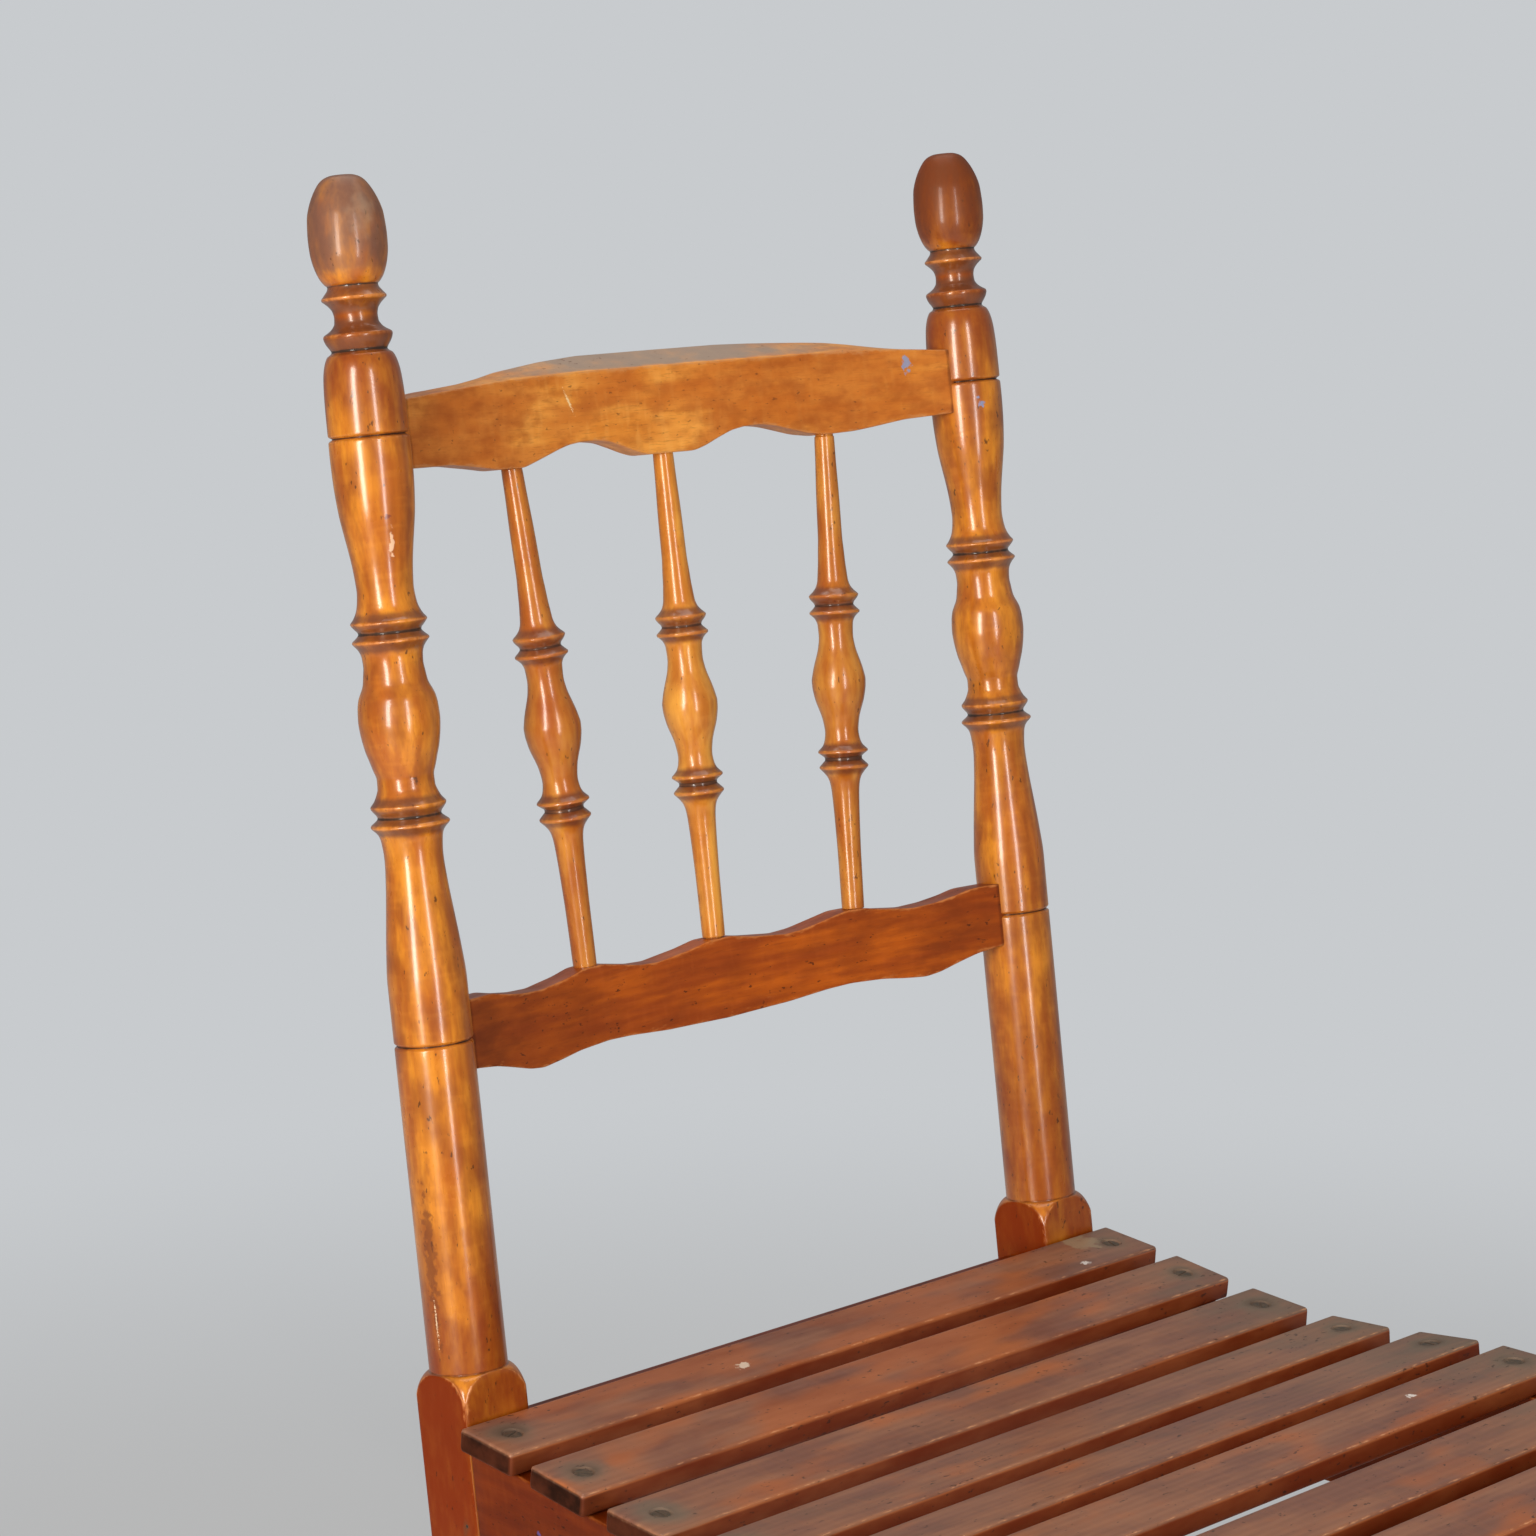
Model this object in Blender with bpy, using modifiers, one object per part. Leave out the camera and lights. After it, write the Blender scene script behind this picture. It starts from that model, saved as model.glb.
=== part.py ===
"""Spindle-back side chair with a dished seat of screwed slats.

Turned posts carry a bowed crest rail and a bowed lower rail with three turned spindles between them.
The chair frame used below has its origin on the floor under the posts' shoulders, with +X to the right
seen from the front, +Y to the back and +Z up. One empty moves it to the middle of the footprint.
"""

import math

import bmesh
import bpy
from mathutils import Vector

# Driving sizes, in metres
SEAT_HEIGHT = 0.440
POST_SPACING = 0.381
POST_DIAMETER = 0.036
POST_SQUARE = 0.037
TURNED_HEIGHT = 0.5443
SHOULDER_ABOVE_SEAT = 0.0134
BACK_RAKE_DEGREES = 8.0
LEG_KICK_DEGREES = 9.0

# Clearances and helpers for cuts
FIT = 0.0003
OVERRUN = 0.030
EDGE_EASE = 0.0012
WELD = 0.00001
FACET_LENGTH = 0.0065
SMOOTH_DEGREES = 32.0
SHARP_DEGREES = 40.0

# Post shoulder and rear leg
DOME_HEIGHT = 0.020
DOME_CORNER_RELIEF = 0.0008
DOME_STEPS = 5
PLUG_INSET = 0.001
PLUG_LENGTH = 0.006
FOOT_DEPTH = 0.029
FOOT_WIDTH = 0.031
BEND_BELOW_RAIL = 0.018
BEND_LENGTH = 0.120
BEND_STEPS = 6

# Seat
SLAT_COUNT = 8
SLAT_OVERHANG = 0.006
SLAT_WIDTH = 0.036
SLAT_THICKNESS = 0.011
SLAT_GAP = 0.0150
SLAT_ROUNDING = 0.0014
DISH_DEPTH = 0.0103

# Seat rails
RAIL_THICKNESS = 0.0195
SIDE_RAIL_DROP = 0.085
CROSS_RAIL_HEIGHT = 0.056
CROSS_RAIL_THICKNESS = 0.018
RAIL_TENON_THICKNESS = 0.009
RAIL_TENON_LENGTH = 0.020
CROSS_TENON_LENGTH = 0.015
RAIL_TENON_SHOULDER = 0.008

# Back rails, measured along the posts from the shoulder
BACK_BOW = 0.021
BACK_RAIL_THICKNESS = 0.014
BACK_RAIL_TENON = 0.0145
BACK_RAIL_STATIONS = 22
CREST_END_TOP = 0.4435
CREST_DEPTH = 0.0359
CREST_ARCH = 0.0146
CREST_FRONT_CUT = 0.0088
CREST_SCALLOP = 0.010
LOWER_RAIL_TOP = 0.1710
LOWER_RAIL_HEIGHT = 0.0407
LOWER_RAIL_TOP_WAVE = 0.0055
LOWER_RAIL_BOTTOM_WAVE = 0.0087

# Back spindles
SPINDLE_DIAMETER = 0.027
SPINDLE_SPREAD_TOP = 0.100
SPINDLE_SPREAD_LOW = 0.088
SPINDLE_TENON_DIAMETER = 0.009
SPINDLE_TENON_LENGTH = 0.012

# Front legs
FRONT_LEG_DIAMETER = 0.036
FRONT_LEG_SETBACK = 0.008
FRONT_BLOCK_BELOW_RAIL = 0.016

# Stretchers
STRETCHER_TENON_DIAMETER = 0.012
STRETCHER_TENON_LENGTH = 0.014
SIDE_STRETCHER_DIAMETER = 0.022
SIDE_STRETCHER_HIGH = 0.236
SIDE_STRETCHER_LOW = 0.132
FRONT_STRETCHER_DIAMETER = 0.032
FRONT_STRETCHER_HEIGHT = 0.168
REAR_STRETCHER_HEIGHT = 0.178

# Fasteners
SCREW_HEAD_DIAMETER = 0.0085
SCREW_SHANK_DIAMETER = 0.004
SCREW_LENGTH = 0.028
SCREW_TIP_DIAMETER = 0.0012
SCREW_HEAD_DEPTH = 0.0030
SCREW_SUNK = 0.0004
SLOT_WIDTH = 0.0011
SLOT_DEPTH = 0.0013
PIN_DIAMETER = 0.0030
PIN_LENGTH = 0.026
PIN_FROM_FACE = 0.0080
PIN_BELOW_SHOULDER = 0.0620

# Faces round each turning
POST_SIDES = 12
SPINDLE_SIDES = 10
STRETCHER_SIDES = 10
SCREW_SIDES = 8
BEAD_STEPS = 4
EASE_STEPS = 5
OVAL_STEPS = 6

# How far each screw's slot is turned, in sides of its head
SLOT_TURNS = (1, 0, 3, 2, 0, 1, 2)

# Seat curve: share of the seat's depth from the posts, share of the dish above the seat's rear height
SEAT_CURVE_SHARES = ((-0.055, 0.10), (0.37, -1.0), (0.69, 0.10), (1.075, -0.08))

# The slats were laid by eye: each gap as a share of the nominal one, from the back
SLAT_GAP_SHARES = (0.86, 1.0, 1.0, 1.15, 0.88, 1.22, 0.86)

# Edges of the back rails: share of the half span from the middle, share of the wave
CREST_ARCH_SHARES = ((0.0, 1.0), (0.26, 1.0), (1.0, 0.0))
CREST_SCALLOP_SHARES = (
    (0.0, 0.0), (0.075, 0.0), (0.30, 1.0), (0.55, 0.0), (0.66, 0.0), (0.84, 0.5), (1.0, 0.5),
)
CREST_CUT_SHARES = ((0.0, 1.0), (0.35, 0.95), (0.80, 0.0), (1.0, 0.0))
LOWER_TOP_SHARES = (
    (0.0, 1.0), (0.04, 1.0), (0.24, 0.0), (0.48, 1.0), (0.54, 1.0), (0.71, 0.2), (0.93, 1.0), (1.0, 1.0),
)
LOWER_BOTTOM_SHARES = ((0.0, 0.08), (0.46, 0.46), (0.73, 0.0), (0.76, 0.0), (0.99, 1.0), (1.0, 1.0))

# Turnings, from the top down: kind, share of the length, share of the radius, and for a bead its crest,
# for an oval its widest radius and where that lies
POST_TURNING_SHARES = (
    ("line", 1.0, 0.39),
    ("oval", 0.911, 0.70, 0.978, 0.949),
    ("line", 0.9105, 0.64),
    ("bead", 0.896, 0.58, 0.79),
    ("ease", 0.887, 0.53),
    ("ease", 0.878, 0.60),
    ("bead", 0.8635, 0.70, 0.85),
    ("line", 0.859, 0.70),
    ("oval", 0.7895, 1.006, 1.01, 0.825),
    ("groove", 0.7850, 1.01, 0.92),
    ("line", 0.765, 1.018),
    ("ease", 0.661, 0.71),
    ("ease", 0.642, 0.78),
    ("bead", 0.627, 0.81, 0.955),
    ("bead", 0.612, 0.78, 0.955),
    ("ease", 0.602, 0.745),
    ("ease", 0.555, 1.018),
    ("ease", 0.506, 0.715),
    ("ease", 0.4935, 0.76),
    ("bead", 0.474, 0.85, 0.955),
    ("bead", 0.458, 0.80, 0.985),
    ("ease", 0.440, 0.74),
    ("ease", 0.336, 1.0),
    ("line", 0.283, 1.0),
    ("groove", 0.279, 1.0, 0.92),
    ("line", 0.0, 1.0),
)
SPINDLE_TURNING_SHARES = (
    ("line", 1.0, 0.41),
    ("line", 0.85, 0.43),
    ("line", 0.765, 0.475),
    ("line", 0.705, 0.555),
    ("line", 0.684, 0.62),
    ("bead", 0.646, 0.76, 0.915),
    ("bead", 0.610, 0.68, 0.925),
    ("ease", 0.581, 0.64),
    ("ease", 0.484, 1.0),
    ("ease", 0.378, 0.62),
    ("ease", 0.357, 0.66),
    ("bead", 0.3195, 0.72, 0.915),
    ("bead", 0.283, 0.62, 0.90),
    ("line", 0.268, 0.555),
    ("line", 0.241, 0.505),
    ("line", 0.182, 0.465),
    ("line", 0.101, 0.435),
    ("line", 0.0, 0.415),
)
FRONT_LEG_TURNING_SHARES = (
    ("line", 1.0, 1.0),
    ("line", 0.945, 1.0),
    ("groove", 0.935, 1.0, 0.92),
    ("line", 0.92, 1.0),
    ("ease", 0.830, 0.72),
    ("bead", 0.808, 0.80, 0.955),
    ("bead", 0.786, 0.76, 0.955),
    ("ease", 0.735, 1.0),
    ("line", 0.660, 1.0),
    ("ease", 0.620, 0.76),
    ("bead", 0.600, 0.80, 0.955),
    ("bead", 0.580, 0.74, 0.955),
    ("ease", 0.535, 1.0),
    ("line", 0.352, 1.0),
    ("groove", 0.342, 1.0, 0.92),
    ("line", 0.325, 1.0),
    ("ease", 0.125, 0.60),
    ("bead", 0.085, 0.60, 0.84),
    ("line", 0.0, 0.66),
)

# Half a stretcher, from the visible end to the middle
PLAIN_STRETCHER_SHARES = (("ease", 0.25, 0.98), ("groove", 0.22, 1.0, 0.86), ("line", 0.0, 1.0))
FRONT_STRETCHER_SHARES = (
    ("ease", 0.69, 0.56),
    ("bead", 0.645, 0.62, 0.84),
    ("bead", 0.600, 0.56, 0.84),
    ("ease", 0.540, 0.52),
    ("ease", 0.230, 1.0),
    ("line", 0.140, 1.0),
    ("ease", 0.055, 0.62),
    ("ease", 0.0, 0.90),
)

rake = math.radians(BACK_RAKE_DEGREES)
kick = math.radians(LEG_KICK_DEGREES)
shoulder_height = SEAT_HEIGHT + SHOULDER_ABOVE_SEAT
post_x = POST_SPACING / 2
post_radius = POST_DIAMETER / 2
half_square = POST_SQUARE / 2
outer_face_x = post_x + half_square
inner_face_x = post_x - half_square
back_half_span = post_x - post_radius
rail_middle_x = outer_face_x - RAIL_THICKNESS / 2
side_rail_bottom = SEAT_HEIGHT - SIDE_RAIL_DROP
seat_depth = SLAT_COUNT * SLAT_WIDTH + SLAT_GAP * sum(SLAT_GAP_SHARES[:SLAT_COUNT - 1])
half_slat_length = outer_face_x + SLAT_OVERHANG
sides = ((-1, "left"), (1, "right"))


def eased(shares, at):
    """The height share at a place, eased by half a cosine wave from each (place, height) pair to the next."""
    for (start, low), (end, high) in zip(shares, shares[1:]):
        if at <= end:
            done = max(0.0, (at - start) / (end - start))
            return low + (high - low) * (1 - math.cos(math.pi * done)) / 2
    return shares[-1][1]


def post_face_y(height):
    """Y of the posts' raked front face at a height."""
    return (height - shoulder_height) * math.tan(rake) - half_square / math.cos(rake)


def dish(depth):
    """Height of the seat's dished top at a distance in front of its rear edge."""
    return SEAT_HEIGHT + DISH_DEPTH * eased(SEAT_CURVE_SHARES, depth / seat_depth)


rear_slat_tilt = math.atan2(dish(0) - dish(SLAT_WIDTH), SLAT_WIDTH)
rear_slat_bottom = dish(0) - SLAT_THICKNESS
seat_rear_y = post_face_y(rear_slat_bottom) - SLAT_THICKNESS * math.sin(rear_slat_tilt) - FIT


def slat_places():
    """The middle of each slat's top as (y, z, tilt), from the back, each tilted to its chord of the dish."""
    places = []
    back_edge = seat_rear_y
    for index in range(SLAT_COUNT):
        front_edge = back_edge - SLAT_WIDTH
        back_height, front_height = dish(seat_rear_y - back_edge), dish(seat_rear_y - front_edge)
        rise = back_height - front_height
        height = (back_height + front_height) / 2
        places.append(((back_edge + front_edge) / 2, height, math.atan2(rise, SLAT_WIDTH)))
        back_edge = front_edge - SLAT_GAP * SLAT_GAP_SHARES[index % len(SLAT_GAP_SHARES)]
    return places


slats = slat_places()


def on_slat(place, along, above):
    """A point (y, z) at a distance back from a slat's middle and a height over its top."""
    y, z, tilt = place
    return (
        y + along * math.cos(tilt) - above * math.sin(tilt),
        z + along * math.sin(tilt) + above * math.cos(tilt),
    )


front_corners = [on_slat(slats[-1], -SLAT_WIDTH / 2, above) for above in (0, -SLAT_THICKNESS)]
front_edge_y = min(y for y, _ in front_corners)
front_leg_y = front_edge_y + FRONT_LEG_SETBACK + half_square
front_leg_back_y = front_leg_y + half_square
front_block_bottom = side_rail_bottom - FRONT_BLOCK_BELOW_RAIL


def leg_stations():
    """Down a rear leg's middle: (y, z, lean, half depth). Raked straight, an even bend, a kicked straight."""
    top_y, top_z = PLUG_LENGTH * math.sin(rake), shoulder_height + PLUG_LENGTH * math.cos(rake)
    stations = [(top_y, top_z, rake, half_square)]
    y = (side_rail_bottom - BEND_BELOW_RAIL - shoulder_height) * math.tan(rake)
    z = side_rail_bottom - BEND_BELOW_RAIL
    start = z
    for step in range(BEND_STEPS + 1):
        lean = rake - (rake + kick) * step / BEND_STEPS
        half_depth = half_square + (FOOT_DEPTH / 2 - half_square) * (start - z) / start
        stations.append((y, z, lean, half_depth))
        if step < BEND_STEPS:
            middle_lean = lean - (rake + kick) / BEND_STEPS / 2
            y -= BEND_LENGTH / BEND_STEPS * math.sin(middle_lean)
            z -= BEND_LENGTH / BEND_STEPS * math.cos(middle_lean)
    stations.append((y + z * math.tan(kick), 0, 0, FOOT_DEPTH / 2))
    return stations


rear_leg = leg_stations()


def rear_leg_at(height):
    """Y of a rear leg's middle, and its half depth, at a height."""
    for (y, z, _, depth), (next_y, next_z, _, next_depth) in zip(rear_leg, rear_leg[1:]):
        if height >= next_z:
            share = (z - height) / (z - next_z)
            return y + (next_y - y) * share, depth + (next_depth - depth) * share
    return rear_leg[-1][0], rear_leg[-1][3]


def bow(x):
    """How far the back rails' middle line lies behind the posts' middle: a parabola, straight in the joints."""
    return BACK_BOW * max(0.0, 1 - (x / back_half_span) ** 2)


def ease_points(start, end):
    """Half a cosine wave from one (radius, height) point to the next."""
    steps = min(EASE_STEPS, max(2, round((start[1] - end[1]) / FACET_LENGTH)))
    return [
        (
            start[0] + (end[0] - start[0]) * (1 - math.cos(math.pi * step / steps)) / 2,
            start[1] + (end[1] - start[1]) * step / steps,
        )
        for step in range(1, steps + 1)
    ]


def bead_points(start, end, crest):
    """Half an ellipse that stands out as far as the crest between two points."""
    points = []
    for step in range(1, BEAD_STEPS + 1):
        share = step / BEAD_STEPS
        base = start[0] + (end[0] - start[0]) * share
        height = start[1] + (end[1] - start[1]) * (1 - math.cos(math.pi * share)) / 2
        points.append((base + (crest - base) * math.sin(math.pi * share), height))
    points[-1] = end
    return points


def oval_points(start, end, widest, widest_height):
    """Two quarter ellipses that meet at the widest place and run through both ends."""
    first_angle = math.acos(start[0] / widest)
    last_angle = -math.acos(end[0] / widest)
    upper = (start[1] - widest_height) / math.sin(first_angle)
    lower = (widest_height - end[1]) / math.sin(-last_angle)
    points = []
    for step in range(1, OVAL_STEPS + 1):
        angle = first_angle + (last_angle - first_angle) * step / OVAL_STEPS
        half_height = upper if angle > 0 else lower
        points.append((widest * math.cos(angle), widest_height + half_height * math.sin(angle)))
    points[-1] = end
    return points


def turned_outline(stations, length, radius):
    """(radius, height) points of a turning, from the top down."""
    points = []
    for kind, height_share, radius_share, *form_shares in stations:
        end = (radius_share * radius, height_share * length)
        if kind == "line":
            points.append(end)
        elif kind == "ease":
            points += ease_points(points[-1], end)
        elif kind == "bead":
            points += bead_points(points[-1], end, form_shares[0] * radius)
        elif kind == "oval":
            points += oval_points(points[-1], end, form_shares[0] * radius, form_shares[1] * length)
        else:
            points.append((form_shares[0] * radius, (points[-1][1] + end[1]) / 2))
            points.append(end)
    return points


for leftover in list(bpy.data.objects):
    bpy.data.objects.remove(leftover, do_unlink=True)


def new_collection(name):
    made = bpy.data.collections.new(name)
    bpy.context.scene.collection.children.link(made)
    return made


chair = new_collection("slatted_spindle_chair")
cutters = new_collection("cutters")


def new_material(name, color, roughness, metallic=0.0):
    made = bpy.data.materials.new(name)
    made.use_nodes = True
    surface = made.node_tree.nodes["Principled BSDF"]
    surface.inputs["Base Color"].default_value = (*color, 1.0)
    surface.inputs["Roughness"].default_value = roughness
    surface.inputs["Metallic"].default_value = metallic
    made.diffuse_color = (*color, 1.0)
    return made


post_wood = new_material("post_wood", (0.40, 0.14, 0.04), 0.32)
back_wood = new_material("back_wood", (0.36, 0.15, 0.05), 0.34)
spindle_wood = new_material("spindle_wood", (0.42, 0.16, 0.04), 0.32)
slat_wood = new_material("slat_wood", (0.22, 0.10, 0.06), 0.42)
rail_wood = new_material("rail_wood", (0.18, 0.05, 0.02), 0.40)
screw_iron = new_material("screw_iron", (0.05, 0.05, 0.06), 0.50, 1.0)


def place(name, data, group, parent=None, location=(0, 0, 0), turn=(0, 0, 0), material=None):
    """One object in a collection, under its parent."""
    made = bpy.data.objects.new(name, data)
    made.location = location
    made.rotation_euler = turn
    made.parent = parent
    group.objects.link(made)
    if group is cutters:
        made.hide_render = True
        made.display_type = "WIRE"
    if material:
        data.materials.append(material)
    return made


def solid_mesh(source):
    """The evaluated mesh of a loose object where it lies, welded and facing out; the object is removed."""
    seen = source.evaluated_get(bpy.context.evaluated_depsgraph_get())
    mesh = bpy.data.meshes.new_from_object(seen)
    mesh.transform(seen.matrix_world)
    solid = bmesh.new()
    solid.from_mesh(mesh)
    bmesh.ops.remove_doubles(solid, verts=solid.verts, dist=WELD)
    bmesh.ops.recalc_face_normals(solid, faces=solid.faces)
    solid.to_mesh(mesh)
    solid.free()
    bpy.data.objects.remove(source, do_unlink=True)
    return mesh


def turned(name, outline, sides, group, parent, location=(0, 0, 0), along=(0, 0, 1), material=None):
    """A turned solid: its outline's zero height is at the location, and its top points along."""
    profile = bpy.data.meshes.new(name + "_profile")
    points = [(0, 0, outline[0][1])]
    points += [(radius, 0, height) for radius, height in outline]
    points.append((0, 0, outline[-1][1]))
    profile.from_pydata(points, [(index, index + 1) for index in range(len(points) - 1)], [])
    draft = place(name + "_draft", profile, cutters)
    screw = draft.modifiers.new("turn", "SCREW")
    screw.steps = sides
    screw.render_steps = sides
    screw.use_merge_vertices = True
    screw.merge_threshold = WELD
    mesh = solid_mesh(draft)
    mesh.name = name
    mesh.shade_smooth()
    mesh.set_sharp_from_angle(angle=math.radians(SMOOTH_DEGREES))
    aim = Vector((0, 0, 1)).rotation_difference(Vector(along)).to_euler()
    return place(name, mesh, group, parent, location, aim, material)


def rod(name, start, end, radius, sides, group, parent, material=None):
    """A round rod between two points."""
    aim = Vector(end) - Vector(start)
    return turned(name, [(radius, aim.length), (radius, 0)], sides, group, parent, start, aim, material)


def prism(name, outline, half_thickness, view, group, parent, location=(0, 0, 0), material=None):
    """A sawn solid: a flat outline, as thick to each side as half_thickness, turned into its view."""
    curve = bpy.data.curves.new(name, "CURVE")
    curve.dimensions = "2D"
    curve.fill_mode = "BOTH"
    curve.extrude = half_thickness
    spline = curve.splines.new("POLY")
    spline.points.add(len(outline) - 1)
    for point, (across, up) in zip(spline.points, outline):
        point.co = (across, up, 0, 1)
    spline.use_cyclic_u = True
    mesh = solid_mesh(place(name + "_draft", curve, cutters))
    mesh.name = name
    return place(name, mesh, group, parent, location, view, material)


side_view = (math.pi / 2, 0, math.pi / 2)
front_view = (math.pi / 2, 0, 0)


def box(name, low, high, group, parent, material=None):
    """A box between two corners."""
    solid = bmesh.new()
    bmesh.ops.create_cube(solid, size=1)
    bmesh.ops.scale(solid, vec=[end - start for start, end in zip(low, high)], verts=solid.verts)
    mesh = bpy.data.meshes.new(name)
    solid.to_mesh(mesh)
    solid.free()
    middle = [(start + end) / 2 for start, end in zip(low, high)]
    return place(name, mesh, group, parent, middle, material=material)


def combine(target, operation, *tools):
    """Boolean steps on an object."""
    for tool in tools:
        step = target.modifiers.new(tool.name, "BOOLEAN")
        step.operation = operation
        step.solver = "EXACT"
        step.object = tool


def ease_edges(target, width, segments=1):
    """Broken edges, as a plane or sandpaper leaves them."""
    bevel = target.modifiers.new("eased edges", "BEVEL")
    bevel.width = width
    bevel.segments = segments
    bevel.limit_method = "ANGLE"
    bevel.angle_limit = math.radians(SHARP_DEGREES)


post_outline = turned_outline(POST_TURNING_SHARES, TURNED_HEIGHT, post_radius)
crest_back_edge = (bow(0) + BACK_RAIL_THICKNESS / 2, CREST_END_TOP + CREST_ARCH)
rear_points = [*post_outline, crest_back_edge]
rear_edge_y = max(height * math.sin(rake) + reach * math.cos(rake) for reach, height in rear_points)
chair_frame = place("chair_frame", None, chair, location=(0, -(front_edge_y + rear_edge_y) / 2, 0))
back_frame = place("back_frame", None, chair, chair_frame, (0, 0, shoulder_height), (-rake, 0, 0))


def shoulder_cutter(name, parent, location, along):
    """A ring whose inside leaves a domed shoulder on a square, and a short round plug over the dome.

    Its facets lie half a step round from those of the turning, so that no edges meet edges.
    """
    plug_radius = post_radius - PLUG_INSET
    dome_radius = half_square * math.sqrt(2) + DOME_CORNER_RELIEF
    top = PLUG_LENGTH + OVERRUN
    outline = [(dome_radius + OVERRUN, top), (dome_radius + OVERRUN, -DOME_HEIGHT)]
    for step in range(DOME_STEPS + 1):
        angle = math.pi / 2 * (1 - step / DOME_STEPS)
        reach = plug_radius + (dome_radius - plug_radius) * math.sin(angle)
        outline.append((reach, -DOME_HEIGHT * (1 - math.cos(angle))))
    outline.append((plug_radius, top))
    profile = bpy.data.meshes.new(name + "_profile")
    count = len(outline)
    edges = [(index, (index + 1) % count) for index in range(count)]
    half_step = math.pi / POST_SIDES
    points = [(radius * math.cos(half_step), radius * math.sin(half_step), height) for radius, height in outline]
    profile.from_pydata(points, edges, [])
    draft = place(name + "_draft", profile, cutters)
    screw = draft.modifiers.new("turn", "SCREW")
    screw.steps = POST_SIDES
    screw.render_steps = POST_SIDES
    screw.use_merge_vertices = True
    screw.merge_threshold = WELD
    aim = Vector((0, 0, 1)).rotation_difference(Vector(along)).to_euler()
    return place(name, solid_mesh(draft), cutters, parent, location, aim)


def crest_edges(x):
    """Heights of the crest rail's back top edge, front top edge and bottom edge."""
    share = abs(x) / back_half_span
    back_top = CREST_END_TOP + CREST_ARCH * eased(CREST_ARCH_SHARES, share)
    front_top = back_top - CREST_FRONT_CUT * eased(CREST_CUT_SHARES, share)
    bottom = CREST_END_TOP - CREST_DEPTH + CREST_SCALLOP * eased(CREST_SCALLOP_SHARES, share)
    return back_top, front_top, bottom


def lower_rail_edges(x):
    """Heights of the lower rail's back top edge, front top edge and bottom edge."""
    share = abs(x) / back_half_span
    top = LOWER_RAIL_TOP - LOWER_RAIL_TOP_WAVE * (1 - eased(LOWER_TOP_SHARES, share))
    bottom = LOWER_RAIL_TOP - LOWER_RAIL_HEIGHT + LOWER_RAIL_BOTTOM_WAVE * eased(LOWER_BOTTOM_SHARES, share)
    return top, top, bottom


def back_rail(name, edges):
    """A rail bowed to the back: four-cornered sections lofted from post to post, with straight ends."""
    end_x = back_half_span + BACK_RAIL_TENON
    stations = [-end_x]
    for step in range(BACK_RAIL_STATIONS + 1):
        stations.append(back_half_span * (2 * step / BACK_RAIL_STATIONS - 1))
    stations.append(end_x)
    solid = bmesh.new()
    rings = []
    for x in stations:
        back_top, front_top, bottom = edges(x)
        front, back = bow(x) - BACK_RAIL_THICKNESS / 2, bow(x) + BACK_RAIL_THICKNESS / 2
        corners = ((front, bottom), (back, bottom), (back, back_top), (front, front_top))
        rings.append([solid.verts.new((x, y, z)) for y, z in corners])
    for ring, next_ring in zip(rings, rings[1:]):
        for corner in range(len(ring)):
            following = (corner + 1) % len(ring)
            solid.faces.new((ring[corner], next_ring[corner], next_ring[following], ring[following]))
    solid.faces.new(rings[0])
    solid.faces.new(rings[-1])
    bmesh.ops.recalc_face_normals(solid, faces=solid.faces)
    mesh = bpy.data.meshes.new(name)
    solid.to_mesh(mesh)
    solid.free()
    mesh.shade_smooth()
    mesh.set_sharp_from_angle(angle=math.radians(SMOOTH_DEGREES))
    return place(name, mesh, chair, back_frame, material=back_wood)


def back_rail_pocket(name, side, edges):
    """The pocket that houses a back rail's straight end in a post."""
    back_top, _, bottom = edges(back_half_span)
    low_x = back_half_span - OVERRUN
    high_x = back_half_span + BACK_RAIL_TENON + FIT
    half = BACK_RAIL_THICKNESS / 2 + FIT
    low = (min(side * low_x, side * high_x), -half, bottom - FIT)
    high = (max(side * low_x, side * high_x), half, back_top + FIT)
    return box(name, low, high, cutters, back_frame)


def spindle_ends(x_share):
    """The (x, y, height) places where a spindle meets the lower rail's top and the crest rail's bottom."""
    low_x = x_share * SPINDLE_SPREAD_LOW
    top_x = x_share * SPINDLE_SPREAD_TOP
    low = Vector((low_x, bow(low_x), lower_rail_edges(low_x)[0]))
    top = Vector((top_x, bow(top_x), crest_edges(top_x)[2]))
    return low, top


def back_spindle(name, x_share):
    """A turned spindle with a round tenon at each end."""
    low, top = spindle_ends(x_share)
    aim = (top - low).normalized()
    lean = math.acos(aim.z)
    end_radius = SPINDLE_TURNING_SHARES[0][2] * SPINDLE_DIAMETER / 2
    gap = FIT + end_radius * math.sin(lean)
    length = (top - low).length - 2 * gap
    tenon_radius = SPINDLE_TENON_DIAMETER / 2
    outline = [(tenon_radius, length + SPINDLE_TENON_LENGTH), (tenon_radius, length)]
    outline += turned_outline(SPINDLE_TURNING_SHARES, length, SPINDLE_DIAMETER / 2)
    outline += [(tenon_radius, 0), (tenon_radius, -SPINDLE_TENON_LENGTH)]
    return turned(name, outline, SPINDLE_SIDES, chair, back_frame, low + aim * gap, aim, spindle_wood)


def spindle_holes(name, x_share):
    """The holes for a spindle's tenons, in the lower rail and in the crest rail."""
    low, top = spindle_ends(x_share)
    aim = (top - low).normalized()
    radius = SPINDLE_TENON_DIAMETER / 2 + FIT
    depth = SPINDLE_TENON_LENGTH + FIT
    spans = (("low", low - aim * depth, low + aim * OVERRUN), ("top", top - aim * OVERRUN, top + aim * depth))
    return [
        rod(f"{name}_{end_name}", start, end, radius, SPINDLE_SIDES, cutters, back_frame)
        for end_name, start, end in spans
    ]


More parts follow.
